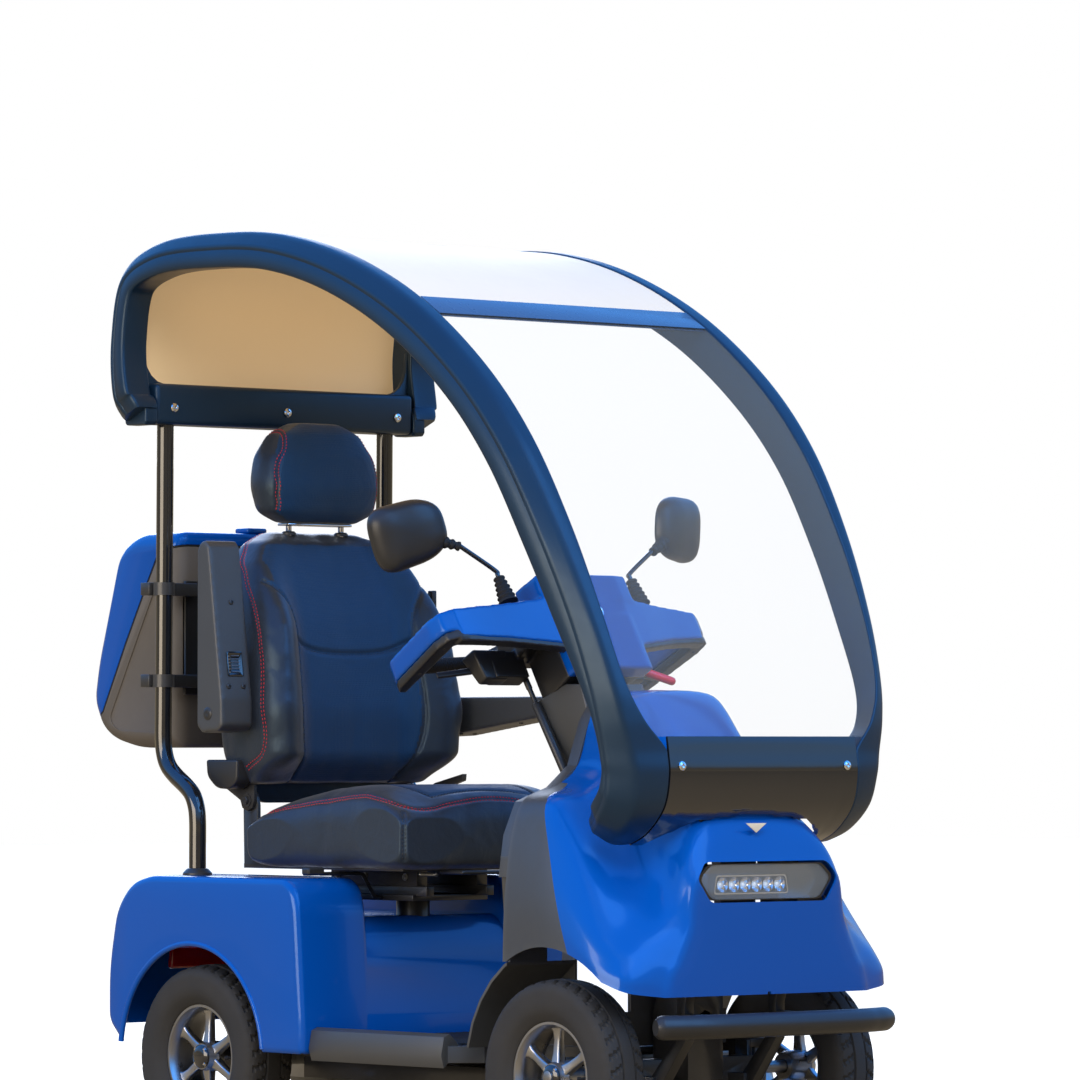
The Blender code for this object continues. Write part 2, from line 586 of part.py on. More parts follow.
def sheet(name, stations, side_gap, outside, thickness, slot):
    """A curved sheet between the side frames, following their crown."""
    rings = []
    for row, inward in stations:
        half = row[5] - side_gap
        crown = Vector((row[0], 0, row[1]))
        top, bottom = crown + inward * outside, crown + inward * (outside + thickness)
        rings.append([top + Vector((0, -half, 0)), top + Vector((0, half, 0)),
                      bottom + Vector((0, half, 0)), bottom + Vector((0, -half, 0))])
    return loft(name, rings, slot)


def roof_sheet():
    """Roof from the rear panel to the cross strip."""
    start = crown_where(1, REAR_PANEL_TOP + 0.001, 1, 2)
    end = crown_where(0, STRIP_X[0], 7, 9)
    return sheet("roof_sheet", crown_span(start, end), 0.0015, 0.003, 0.004, "roof_sheet")


def windshield():
    """Clear sheet from the cross strip down to the front panel."""
    start = crown_where(0, STRIP_X[1], 7, 9)
    end = crown_where(1, FRONT_PANEL_TOP + 0.001, 13, 16)
    return sheet("windshield", crown_span(start, end), 0.0015, 0.003, 0.004, "windshield")


def canopy_front_panel():
    """Glossy panel across the nose, curled under at its ends and arched over the nose between them."""
    start = crown_where(1, FRONT_PANEL_TOP, 13, 16)
    end = len(CANOPY_STATIONS) - 1
    panel = sheet("canopy_front_panel", crown_span(start, end), 0.0008, 0.000, 0.006, "gloss_black")
    arch = [(-0.222, 0.60), (-0.205, 0.640), (-0.150, 0.671), (0, 0.684), (0.150, 0.671), (0.205, 0.640),
            (0.222, 0.60)]
    return cut(panel, prism("arch", arch, "X", 0.60, 0.90, "gloss_black"))


def canopy_rear_panel():
    """Box bar across the back, on top of the two rear tubes."""
    outline = [(-0.628, REAR_PANEL_BOTTOM), (-0.560, REAR_PANEL_BOTTOM), (-0.558, REAR_PANEL_TOP),
               (-0.6295, REAR_PANEL_TOP), (-0.6295, 1.50)]
    return prism("canopy_rear_panel", outline, "Y", -0.3445, 0.3445, "canopy_plastic")


def canopy_tube(name, side):
    """Rear tube with a double bend, from the chassis to the rear panel."""
    y = side * CANOPY_TUBE_Y
    route = [(-0.487, 0.4405), (-0.487, 0.660), (-0.494, 0.697), (-0.516, 0.722), (-0.566, 0.754),
             (-0.590, 0.780), (-0.600, 0.815), (-0.594, REAR_PANEL_BOTTOM - GAP)]
    return tube(name, [(x, y, z) for x, z in route], TUBE_RADIUS, "gloss_black", 12)


# ---------------------------------------------------------------- rear box
BOX_FRONT_X = -0.648
BOX_SEAM = [(-0.905, 0.848), (-0.890, 0.880), (-0.740, 1.150), (-0.705, 1.208), (BOX_FRONT_X, 1.232)]


def box_outline(inset):
    """Side outline of the whole rear box, (x, z)."""
    i = inset
    return [(BOX_FRONT_X - i, 0.806 + i), (BOX_FRONT_X - i, 1.250 - i), (-0.760, 1.252 - i), (-0.812, 1.238 - i),
            (-0.848 + i * 0.7, 1.195 - i * 0.5), (-0.925 + i, 0.985), (-0.940 + i, 0.905),
            (-0.925 + i, 0.860 + i * 0.5), (-0.872, 0.822 + i), (-0.800, 0.806 + i)]


def hollow_box(name, slot):
    """The whole box as a shell with rounded sides."""
    def rounded(label, inset):
        half = BOX_HALF_WIDTH - inset
        soft = [(half - 0.028, inset), (half - 0.008, inset + 0.008), (half, inset + 0.028)]
        levels = [(-y, i) for y, i in reversed(soft)] + soft
        levels.sort(key=lambda level: level[0])
        rings = [[(x, y, z) for x, z in box_outline(i)] for y, i in levels]
        return loft(label, rings, slot)

    return cut(rounded(name, 0.0), rounded("inside", BOX_WALL))


def beyond_seam(offset):
    """Everything on the lid's side of the seam, moved by an offset."""
    line = [(x - offset * 0.87, z + offset * 0.5) for x, z in BOX_SEAM]
    line[0] = (line[0][0] - 0.06, line[0][1] - 0.01)
    line[-1] = (BOX_FRONT_X + 0.05, 1.232 + offset)
    outline = line + [(BOX_FRONT_X + 0.05, 1.35), (-1.10, 1.35), (-1.10, line[0][1])]
    return prism("beyond", outline, "Y", -0.3, 0.3, "blue_paint")


def trunk_base():
    base = hollow_box("trunk_base", "box_grey")
    return cut(base, beyond_seam(0.0))


def trunk_lid():
    lid = hollow_box("trunk_lid", "blue_paint")
    return combine(lid, "INTERSECT", beyond_seam(0.0015))


def trunk_latch():
    """Push latch on the front of the lid's top."""
    return block("trunk_latch", (-0.700, -0.026, 1.2514), (-0.655, 0.026, 1.263), "blue_paint", 0.003)


def trunk_bracket():
    """Plate on the rear tubes that the box is bolted to."""
    plate = block("trunk_bracket", (BOX_FRONT_X + 0.0003, -0.205, 0.915), (-0.640, 0.205, 1.150), "frame_paint")
    for side in (-1, 1):
        for height in (0.930, 1.118):
            low, high = sorted((side * 0.190, side * 0.318))
            join(plate, block("lug", (-0.646, low, height), (-0.6175, high, height + 0.026), "frame_paint"))
    return plate


# ---------------------------------------------------------------- seat
def swivel_base():
    """Spigot in the pedestal, turning plate and the two lower slide rails."""
    x = SEAT_POST.x
    plate = block("swivel_base", (x - 0.115, -0.100, 0.5005), (x + 0.115, 0.100, 0.5125), "frame_paint")
    join(plate, rod("spigot", (x, 0, 0.415), (x, 0, 0.505), 0.0250, "frame_paint", 24))
    for side in (-1, 1):
        join(plate, block("rail", (x - 0.145, side * 0.080 - 0.010, 0.510), (x + 0.145, side * 0.080 + 0.010, 0.530),
                          "frame_paint"))
    return plate


def seat_pan():
    """Steel pan with the upper slide rails and the recliner's lower brackets."""
    pan = block("seat_pan", (-0.445, -0.208, PAN_BOTTOM), (0.050, 0.208, PAN_TOP), "frame_paint")
    x = SEAT_POST.x
    for side in (-1, 1):
        join(pan, block("rail", (x - 0.145, side * 0.080 - 0.014, 0.5303), (x + 0.120, side * 0.080 + 0.014, 0.5645),
                        "frame_paint"))
        low, high = sorted((side * BRACKET_Y, side * (BRACKET_Y + PLATE)))
        ear = [(-0.444, 0.567), (-0.400, 0.567), (-0.401, 0.690)]
        ear += arc((RECLINE_PIVOT.x, RECLINE_PIVOT.z), 0.022, 0, 180, 4)
        join(pan, prism("ear", ear, "Y", low, high, "frame_paint"))
    return pan


def cushion_rings(levels, half_x, half_y, centre, power=0.28):
    """Rounded rectangles, stacked: (z, scale) levels of a pad with soft corners."""
    rings = []
    for z, grow in levels:
        ring = []
        for step in range(24):
            angle = 2 * math.pi * (step + 0.5) / 24
            c, s = math.cos(angle), math.sin(angle)
            ring.append((centre[0] + math.copysign(abs(c) ** power, c) * (half_x + grow),
                         centre[1] + math.copysign(abs(s) ** power, s) * (half_y + grow), z))
        rings.append(ring)
    return rings


def seat_cushion():
    levels = [(0.5745, -0.008), (0.590, 0.0), (0.668, 0.0), (0.695, -0.012), (0.712, -0.060)]
    rings = cushion_rings(levels, 0.2475, 0.2500, (-0.147, 0))
    return loft("seat_cushion", rings, "leather")


def lean(x, z):
    """Backrest planes: the x at height z, leaning back above the recline pivot."""
    return x - 0.115 * (z - 0.74)


def backrest_cushion():
    """Crowned back pad with bolsters, waisted at its top."""
    levels = [(0.738, 0.225, 0.100), (0.775, 0.246, 0.128), (0.880, 0.257, 0.145), (1.000, 0.250, 0.142),
              (1.110, 0.232, 0.130), (1.180, 0.208, 0.118), (1.225, 0.170, 0.098), (1.250, 0.110, 0.066)]
    rings = []
    for z, half, depth in levels:
        back = lean(-0.468, z)
        front = back + depth
        ring = [(back, -half * 0.90, z), (back + depth * 0.30, -half, z), (front - 0.014, -half, z),
                (front, -half * 0.90, z), (front - depth * 0.14, -half * 0.55, z), (front - depth * 0.18, 0, z)]
        ring += [(x, -y, h) for x, y, h in reversed(ring[:-1])]
        rings.append(ring)
    pad = loft("backrest_cushion", rings, "leather")
    for side in (-1, 1):
        x, y = HEADREST_POST_X, side * HEADREST_POST_Y
        cut(pad, rod("bore", (x, y, 1.160), (x, y, 1.30), 0.0072, "leather", 12))
    return pad


def backrest_frame():
    """Moulded back panel, the recliner's upper ears, and the armrests' pivots."""
    outline = [(lean(-0.482, 0.745), 0.745), (lean(-0.4683, 0.745), 0.745), (lean(-0.4683, 1.200), 1.200),
               (lean(-0.480, 1.200), 1.200)]
    panel = prism("backrest_frame", outline, "Y", -0.200, 0.200, "satin_black")
    for side in (-1, 1):
        low, high = sorted((side * (BRACKET_Y + PLATE + 0.0008), side * (BRACKET_Y + 2 * PLATE)))
        ear = arc((RECLINE_PIVOT.x, RECLINE_PIVOT.z), 0.022, 180, 360, 4)
        ear += [(-0.403, 0.732), (-0.4745, 0.7335), (-0.4790, 0.800), (-0.4905, 0.800), (-0.4900, 0.722)]
        join(panel, prism("ear", ear, "Y", low, high, "satin_black"))
        tie_low, tie_high = sorted((side * 0.190, side * (BRACKET_Y + 2 * PLATE)))
        tie = [(-0.4895, 0.752), (-0.4765, 0.752), (-0.4795, 0.798), (-0.4900, 0.798)]
        join(panel, prism("tie", tie, "Y", tie_low, tie_high, "satin_black"))
        arm_low, arm_high = sorted((side * 0.185, side * 0.2665))
        arm_bar = [(-0.497, 0.860), (-0.4875, 0.860), (-0.4875, 0.892), (-0.500, 0.892)]
        join(panel, prism("arm_bar", arm_bar, "Y", arm_low, arm_high, "satin_black"))
        ear_low, ear_high = sorted((side * 0.2605, side * 0.2672))
        arm_ear = [(-0.500, 0.860), (-0.388, 0.855), (-0.372, 0.866), (-0.372, 0.884), (-0.388, 0.895),
                   (-0.500, 0.892)]
        join(panel, prism("arm_ear", arm_ear, "Y", ear_low, ear_high, "satin_black"))
    return panel


def headrest_posts():
    """Two chrome posts on a plate under the headrest, sliding in the top of the backrest."""
    x, top = HEADREST_POST_X, 1.262
    posts = block("headrest_posts", (x - 0.018, -0.085, top), (x + 0.018, 0.085, top + 0.005), "chrome")
    for side in (-1, 1):
        y = side * HEADREST_POST_Y
        join(posts, rod("post", (x, y, 1.170), (x, y, top + 0.002), 0.006, "chrome", 12))
    return posts


def headrest_cushion():
    levels = [(1.2676, 0.085, 0.030), (1.285, 0.118, 0.046), (1.330, 0.128, 0.053), (1.390, 0.124, 0.052),
              (1.430, 0.102, 0.042), (1.450, 0.060, 0.024)]
    rings = []
    for z, half, deep in levels:
        centre = -0.468 - 0.05 * (z - 1.27)
        ring = []
        for step in range(18):
            angle = 2 * math.pi * (step + 0.5) / 18
            c, s = math.cos(angle), math.sin(angle)
            ring.append((centre + math.copysign(abs(c) ** 0.55, c) * deep,
                         math.copysign(abs(s) ** 0.55, s) * half, z))
        rings.append(ring)
    return loft("headrest_cushion", rings, "leather")


def armrest(name, side, raised):
    """Tapered arm pad; its own length runs from the pivot, then it is turned up if it is stored."""
    start, end = -0.035, ARM_LENGTH - 0.035
    profile = [(start, -0.032), (start - 0.004, 0.020), (start + 0.010, 0.036), (end - 0.022, 0.036),
               (end - 0.004, 0.026), (end, 0.010), (end - 0.012, -0.002), (end - 0.05, -0.008), (0.03, -0.044),
               (start + 0.012, -0.046)]
    if raised:
        profile = [(-z, x) for x, z in profile]
    outline = [(ARM_PIVOT_X + x, ARM_PIVOT_Z + z) for x, z in profile]
    low, high = sorted((side * ARM_INNER_Y, side * (ARM_INNER_Y + ARM_WIDTH)))
    return prism(name, outline, "Y", low, high, "dark_trim")


def swivel_lever():
    """Release lever of the swivel, at the seat's right."""
    x = SEAT_POST.x + 0.02
    lever = tube("swivel_lever", [(x, -0.1018, 0.5065), (x, -0.120, 0.5080), (x, -0.150, 0.5530), (x, -0.165, 0.5555),
                                  (x, -0.262, 0.5555)], 0.0040, "frame_paint", 8)
    return join(lever, block("knob", (x - 0.012, -0.302, 0.5525), (x + 0.012, -0.258, 0.5690), "frame_paint", 0.004))


def slide_lever():
    """Bar across the front of the pan that frees the slide rails."""
    y, z = 0.110, 0.5600
    return tube("slide_lever", [(0.053, -y, z), (0.118, -y, z), (0.122, -y + 0.012, z), (0.122, y - 0.012, z),
                                (0.118, y, z), (0.053, y, z)], 0.0045, "frame_paint", 8)


def recline_lever():
    """Lever on the left recliner, pointing forward."""
    hub = rod("recline_lever", (RECLINE_PIVOT.x, 0.2165, 0.700), (RECLINE_PIVOT.x, 0.2560, 0.700), 0.013,
              "satin_black", 10)
    grip = [(-0.425, 0.690), (-0.380, 0.716), (-0.300, 0.738), (-0.298, 0.752), (-0.385, 0.733), (-0.430, 0.712)]
    return join(hub, prism("grip", grip, "Y", 0.2585 - 0.0045, 0.2660, "satin_black"))


# ---------------------------------------------------------------- tiller
DOWN_BACK = Vector((-math.cos(HEAD_TILT), 0, -math.sin(HEAD_TILT)))
HEAD_UP = Vector((-math.sin(HEAD_TILT), 0, math.cos(HEAD_TILT)))


def head_point(u, v, n):
    """A place on the handlebar head: u towards the rider, v to the left, n up from its plane."""
    return HEAD_ORIGIN + DOWN_BACK * u + Vector((0, v, 0)) + HEAD_UP * n


def head_prism(name, outline, low, high, slot):
    """An outline of (u, v) points pushed along the head's own up direction."""
    count = len(outline)
    vertices = [head_point(u, v, low) for u, v in outline] + [head_point(u, v, high) for u, v in outline]
    faces = [tuple(range(count)), tuple(range(count, 2 * count))]
    faces += [(i, (i + 1) % count, count + (i + 1) % count, count + i) for i in range(count)]
    return solid(name, vertices, faces, slot)


def head_block(name, u_range, v_range, n_range, slot):
    (u0, u1), (v0, v1), (n0, n1) = u_range, v_range, n_range
    return head_prism(name, [(u0, v0), (u1, v0), (u1, v1), (u0, v1)], n0, n1, slot)


def delta_outline(inset):
    """Front band and two side arms of the delta handlebar, in its own plane."""
    i = inset
    half = [(-0.046 + i, 0.085), (-0.036 + i, 0.135), (-0.016 + i, 0.215), (0.004 + i, 0.318), (0.024, 0.345 - i),
            (0.060, 0.350 - i), (0.205, 0.334 - i), (0.226 - i, 0.320), (0.224 - i, 0.304), (0.046, 0.314),
            (0.030, 0.296)]
    return half + [(u, -v) for u, v in reversed(half)]


def tiller_shell():
    """Blue upper and front shell of the head: delta band, tower and front lobe."""
    shell = head_prism("tiller_shell", delta_outline(0.0), 0.0125, 0.058, "blue_paint")
    tower = [(-0.048, -0.086), (-0.042, -0.119), (0.030, -0.121), (0.030, 0.121), (-0.042, 0.119), (-0.048, 0.086)]
    lobe = [(-0.048, -0.084), (-0.042, -0.100), (-0.004, -0.100), (-0.004, 0.100), (-0.042, 0.100), (-0.048, 0.084)]
    return join(shell, head_prism("tower", tower, 0.050, 0.110, "blue_paint"),
                head_prism("lobe", lobe, -0.104, 0.020, "blue_paint"))


def tiller_underside():
    """Black lower shell, console and instrument housing that face the rider, and the switch housings."""
    shell = head_prism("tiller_underside", delta_outline(0.002), -0.006, 0.0122, "satin_black")
    cut(shell, head_block("lobe_clearance", (-0.07, -0.0037), (-0.1003, 0.1003), (-0.02, 0.03), "satin_black"))
    console = [(-0.0030, -0.094), (0.105, -0.075), (0.105, 0.075), (-0.0030, 0.094)]
    binnacle = [(0.0303, -0.121), (0.130, -0.112), (0.130, 0.112), (0.0303, 0.121)]
    join(shell, head_prism("console", console, -0.100, 0.0100, "satin_black"),
         head_prism("binnacle", binnacle, -0.004, 0.104, "satin_black"))
    low, high = head_point(0.131, -0.2, 0.052), head_point(0.040, -0.2, 0.1045)
    over = head_point(0.131, -0.2, 0.1500)
    wedge = [low, high, over] + [p + Vector((0, 0.4, 0)) for p in (low, high, over)]
    cut(shell, solid("wedge", wedge, [(0, 1, 2), (3, 4, 5), (0, 1, 4, 3), (1, 2, 5, 4), (2, 0, 3, 5)], "satin_black"))
    for side in (-1, 1):
        stub = [(0.112, 0.100), (0.150, 0.120), (0.162, 0.1497), (0.190, 0.1497), (0.180, 0.120), (0.128, 0.080)]
        join(shell, head_prism("stub", [(u, side * v) for u, v in stub], 0.016, 0.052, "satin_black"))
        low, high = sorted((side * 0.100, side * 0.186))
        join(shell, head_block("switch_box", (0.088, 0.126), (low, high), (-0.046, 0.012), "satin_black"))
    return shell


def grip(name, side):
    """Grip between the console's stub and the side arm of the delta."""
    start, end = head_point(0.176, side * 0.1518, 0.034), head_point(0.191, side * 0.3020, 0.034)
    return rod(name, start, end, 0.0150, "soft_grip", 12)


def finger_lever(name, side, slot):
    """Lever in front of a grip, hinged in the switch box."""
    outline = [(0.106, 0.1880), (0.118, 0.1880), (0.130, 0.215), (0.146, 0.286), (0.138, 0.292), (0.122, 0.225)]
    return head_prism(name, [(u, side * v) for u, v in outline], -0.020, -0.008, slot)


def tilt_lever():
    """Red-sleeved lever on the left of the column that frees the tiller's tilt."""
    root = head_point(0.020, 0.0975, -0.060)
    tip = root + Vector((0.030, 0.092, -0.030))
    lever = rod("tilt_lever", root, tip, 0.0050, "red_sleeve", 8)
    return join(lever, rod("sleeve", root.lerp(tip, 0.45), root.lerp(tip, 1.06), 0.0080, "red_sleeve", 8))


def ignition_key():
    centre = head_point(0.0855, -0.088, 0.0785)
    outward = dash_normal()
    barrel = rod("ignition_key", centre + outward * GAP, centre + outward * 0.010, 0.0075, "chrome", 12)
    across = Vector((0, 0.011, 0))
    low = centre + outward * 0.009
    blade = [low + across * s + dash_slope() * t + outward * h for h in (0, 0.026)
             for s, t in ((-1, -0.0018), (1, -0.0018), (1, 0.0018), (-1, 0.0018))]
    return join(barrel, solid("bow", blade, [(0, 1, 2, 3), (4, 5, 6, 7), (0, 1, 5, 4), (1, 2, 6, 5),
                                             (2, 3, 7, 6), (3, 0, 4, 7)], "satin_black"))


def dash_slope():
    """Direction down the dash's sloped face, towards the rider."""
    return (head_point(0.131, 0, 0.052) - head_point(0.040, 0, 0.1045)).normalized()


def dash_normal():
    """Outward direction of the dash's sloped face."""
    normal = dash_slope().cross(Vector((0, 1, 0)))
    return normal if normal.z > 0 else -normal


def speed_dial():
    centre = head_point(0.0855, 0.088, 0.0785)
    return turned("speed_dial", [(0, 0.0003), (0.017, 0.0003), (0.016, 0.013), (0, 0.0145)], centre,
                  dash_normal(), "satin_black", 20)


def tiller_column():
    """Tapered column cover from the tilt pivot up to the head, with its fork round the stem's eye."""
    along = steer_direction()
    levels = [(0.030, 0.052, 0.062, 0.045), (0.085, 0.062, 0.072, 0.060), (0.170, 0.066, 0.078, 0.075),
              (0.255, 0.068, 0.082, 0.086)]
    rings = []
    for distance, half_y, back, front in levels:
        centre = TILT_PIVOT + along * distance
        corner = 0.020
        ring = [(-back + corner, -half_y), (front - corner, -half_y), (front, -half_y + corner),
                (front, half_y - corner), (front - corner, half_y), (-back + corner, half_y),
                (-back, half_y - corner), (-back, -half_y + corner)]
        rings.append([centre + Vector((x, y, 0)) for x, y in ring])
    column = loft("tiller_column", rings, "dark_trim")
    trim = head_prism("trim", [(-0.2, -0.2), (0.3, -0.2), (0.3, 0.2), (-0.2, 0.2)], -0.1003, 0.2, "dark_trim")
    cut(column, trim)
    for side in (-1, 1):
        low, high = sorted((side * 0.0235, side * 0.0355))
        cheek = [(TILT_PIVOT.x + x, TILT_PIVOT.z + z) for x, z in arc((0, 0), 0.024, 155, 335, 6)]
        cheek += [(TILT_PIVOT.x + 0.008, TILT_PIVOT.z + 0.060), (TILT_PIVOT.x - 0.040, TILT_PIVOT.z + 0.060)]
        join(column, prism("cheek", cheek, "Y", low, high, "dark_trim"))
    return column


def steering_stem():
    """Stem from the frame's bearing to the tilt pivot, with a thrust ring on each side of the bearing."""
    along = steer_direction()
    foot, top = TILT_PIVOT - along * (BEARING_DROP + 0.045), TILT_PIVOT - along * 0.010
    stem = rod("steering_stem", foot, top, 0.0220, "steel", 14)
    half_eye = Vector((0, 0.0210, 0))
    join(stem, rod("eye", TILT_PIVOT - half_eye, TILT_PIVOT + half_eye, 0.0225, "steel", 14))
    for reach in (-BEARING_DROP - 0.0325, -BEARING_DROP + 0.0325):
        ring = turned("thrust_ring", [(0, -0.002), (0.032, -0.002), (0.032, 0.002), (0, 0.002)],
                      TILT_PIVOT + along * reach, along, "steel", 14)
        join(stem, ring)
    return stem


def mirror_stem(name, side):
    """Bent rod between two ribbed boots."""
    base = Vector((MIRROR_BASE.x, side * MIRROR_BASE.y, MIRROR_BASE.z))
    joint = Vector((MIRROR_JOINT.x, side * MIRROR_JOINT.y, MIRROR_JOINT.z))
    route = [base + HEAD_UP * 0.020, base + HEAD_UP * 0.045, base + HEAD_UP * 0.055 + Vector((0, side * 0.006, 0.002)),
             joint - (joint - base).normalized() * 0.010]
    stem = tube(name, route, 0.0045, "frame_paint", 8)
    boot = turned("boot", [(0, 0), (0.0165, 0), (0.0165, 0.006), (0.0105, 0.034), (0, 0.034)], base, HEAD_UP,
                  "frame_paint", 12)
    return join(stem, boot)


def mirror_frame(side):
    """Turns mirror directions (across, up, back-to-front) into the world's."""
    forward = Vector((math.cos(MIRROR_TOE), side * math.sin(MIRROR_TOE), 0))
    across = Vector((-side * math.sin(MIRROR_TOE) * side, side * math.cos(MIRROR_TOE), 0))
    return across, Vector((0, 0, 1)), forward


def mirror(name, side):
    """Mirror head: a domed housing with its glass side to the rear."""
    across, up, forward = mirror_frame(side)
    centre = Vector((MIRROR_CENTRE.x, side * MIRROR_CENTRE.y, MIRROR_CENTRE.z))
    levels = [(-0.016, 0.96), (-0.013, 1.0), (0.002, 0.98), (0.018, 0.80), (0.026, 0.50)]
    rings = []
    for depth, scale in levels:
        ring = []
        for step in range(16):
            angle = 2 * math.pi * (step + 0.5) / 16
            c, s = math.cos(angle), math.sin(angle)
            x = math.copysign(abs(c) ** 0.62, c) * 0.078 * scale
            z = math.copysign(abs(s) ** 0.62, s) * (0.058 + 0.010 * c) * scale
            ring.append(centre + across * x + up * z + forward * depth)
        rings.append(ring)
    head = loft(name, rings, "satin_black")
    joint = Vector((MIRROR_JOINT.x, side * MIRROR_JOINT.y, MIRROR_JOINT.z))
    return join(head, rod("socket", joint, joint.lerp(centre, 0.45), 0.0105, "satin_black", 10))


# ---------------------------------------------------------------- joints and assembly
def joint_frame(name, place, parent=None):
    """An empty on a joint's axis; pieces that move with the joint are its children."""
    empty = bpy.data.objects.new(name, None)
    empty.empty_display_size = 0.05
    bpy.context.scene.collection.objects.link(empty)
    if parent:
        empty.parent = parent
        empty.location = Vector(place) - Vector(parent["place"])
    else:
        empty.location = Vector(place)
    empty["place"] = tuple(place)
    return empty


def attach(empty, *pieces):
    """Hang pieces on a joint's empty without moving them."""
    for piece in pieces:
        piece.parent = empty
        piece.matrix_parent_inverse = Matrix.Translation(-Vector(empty["place"]))


def round_off(body):
    """Smooth shading with sharp edges kept."""
    body.data.shade_smooth()
    body.data.set_sharp_from_angle(angle=math.radians(38))


def build_running_gear():
    chassis_frame()
    transaxle()
    battery_pack()
    steer = joint_frame("steer", TILT_PIVOT)
    attach(steer, steering_stem())
    for label, side in SIDES:
        rear_hub = (REAR_AXLE_X, side * REAR_WHEEL_Y, WHEEL_RADIUS)
        front_hub = (FRONT_AXLE_X, side * FRONT_WHEEL_Y, WHEEL_RADIUS)
        rear = joint_frame(f"wheel_rear_{label}", rear_hub)
        attach(rear, tyre(f"tyre_rear_{label}", rear_hub[0], rear_hub[1], REAR_TYRE_WIDTH),
               rim(f"rim_rear_{label}", rear_hub[0], rear_hub[1], REAR_TYRE_WIDTH, side))
        pin = joint_frame(f"kingpin_{label}", (FRONT_AXLE_X, side * KINGPIN_Y, WHEEL_RADIUS))
        attach(pin, knuckle(f"knuckle_{label}", side))
        front = joint_frame(f"wheel_front_{label}", front_hub, pin)
        attach(front, tyre(f"tyre_front_{label}", front_hub[0], front_hub[1], FRONT_TYRE_WIDTH),
               rim(f"rim_front_{label}", front_hub[0], front_hub[1], FRONT_TYRE_WIDTH, side))
    attach(joint_frame("tie_rod_slide", (FRONT_AXLE_X - 0.100, 0, 0.206)), tie_rod())
    return steer


def build_body():
    for make in (floor_deck, rear_body, tail_light, front_shroud, headlight_lens, leg_shield, front_bumper):
        make()


def build_canopy_and_box():
    for make in (roof_sheet, windshield, canopy_front_panel, canopy_rear_panel, trunk_base, trunk_bracket):
        make()
    for label, side in SIDES:
        canopy_side(f"canopy_side_{label}", side)
        canopy_tube(f"canopy_tube_{label}", side)
    lid = joint_frame("lid_hinge", LID_HINGE)
    attach(lid, trunk_lid())
    attach(joint_frame("latch_slide", (-0.6775, 0, 1.256), lid), trunk_latch())


def build_seat():
    swivel = joint_frame("seat_swivel", SEAT_POST)
    attach(swivel, swivel_base())
    attach(joint_frame("swivel_lever_pivot", (SEAT_POST.x + 0.02, -0.101, 0.5065), swivel), swivel_lever())
    slide = joint_frame("seat_slide", (SEAT_POST.x, 0, 0.530), swivel)
    attach(slide, seat_pan(), seat_cushion())
    attach(joint_frame("slide_lever_pivot", (0.053, 0, 0.5600), slide), slide_lever())
    recline = joint_frame("recline", RECLINE_PIVOT, slide)
    attach(recline, backrest_frame(), backrest_cushion())
    attach(joint_frame("recline_lever_pivot", (RECLINE_PIVOT.x, 0.24, RECLINE_PIVOT.z), recline), recline_lever())
    attach(joint_frame("headrest_slide", (-0.470, 0, 1.255), recline), headrest_posts(), headrest_cushion())
    for label, side in SIDES:
        pivot = joint_frame(f"armrest_{label}_pivot", (ARM_PIVOT_X, side * 0.30, ARM_PIVOT_Z), recline)
        attach(pivot, armrest(f"armrest_{label}", side, label == "right"))


def build_tiller(steer):
    tilt = joint_frame("tiller_tilt", TILT_PIVOT, steer)
    attach(tilt, tiller_column(), tiller_shell(), tiller_underside())
    attach(tilt, grip("grip_right", -1), grip("grip_left", 1))
    attach(joint_frame("throttle_pivot", head_point(0.112, -0.188, -0.014), tilt),
           finger_lever("throttle_lever", -1, "satin_black"))
    attach(joint_frame("brake_pivot", head_point(0.112, 0.188, -0.014), tilt),
           finger_lever("brake_lever", 1, "satin_black"))
    attach(joint_frame("tilt_lever_pivot", head_point(0.020, 0.0975, -0.060), tilt), tilt_lever())
    attach(joint_frame("key_turn", head_point(0.0855, -0.088, 0.0785), tilt), ignition_key())
    attach(joint_frame("dial_turn", head_point(0.0855, 0.088, 0.0785), tilt), speed_dial())
    for label, side in SIDES:
        stem = joint_frame(f"mirror_stem_{label}_turn", MIRROR_BASE * Vector((1, side, 1)), tilt)
        attach(stem, mirror_stem(f"mirror_stem_{label}", side))
        ball = joint_frame(f"mirror_{label}_turn", MIRROR_JOINT * Vector((1, side, 1)), stem)
        attach(ball, mirror(f"mirror_{label}", side))


def main():
    for item in list(bpy.data.objects):
        bpy.data.objects.remove(item)
    steer = build_running_gear()
    build_body()
    build_canopy_and_box()
    build_seat()
    build_tiller(steer)
    for body in bpy.data.objects:
        if body.type == "MESH":
            round_off(body)


main()
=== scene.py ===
"""Looks of the covered mobility scooter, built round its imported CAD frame. Metres, +X ahead, +Z up."""
import json
import math

import bmesh
import bpy
import numpy as np
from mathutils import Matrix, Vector, kdtree
from mathutils.bvhtree import BVHTree


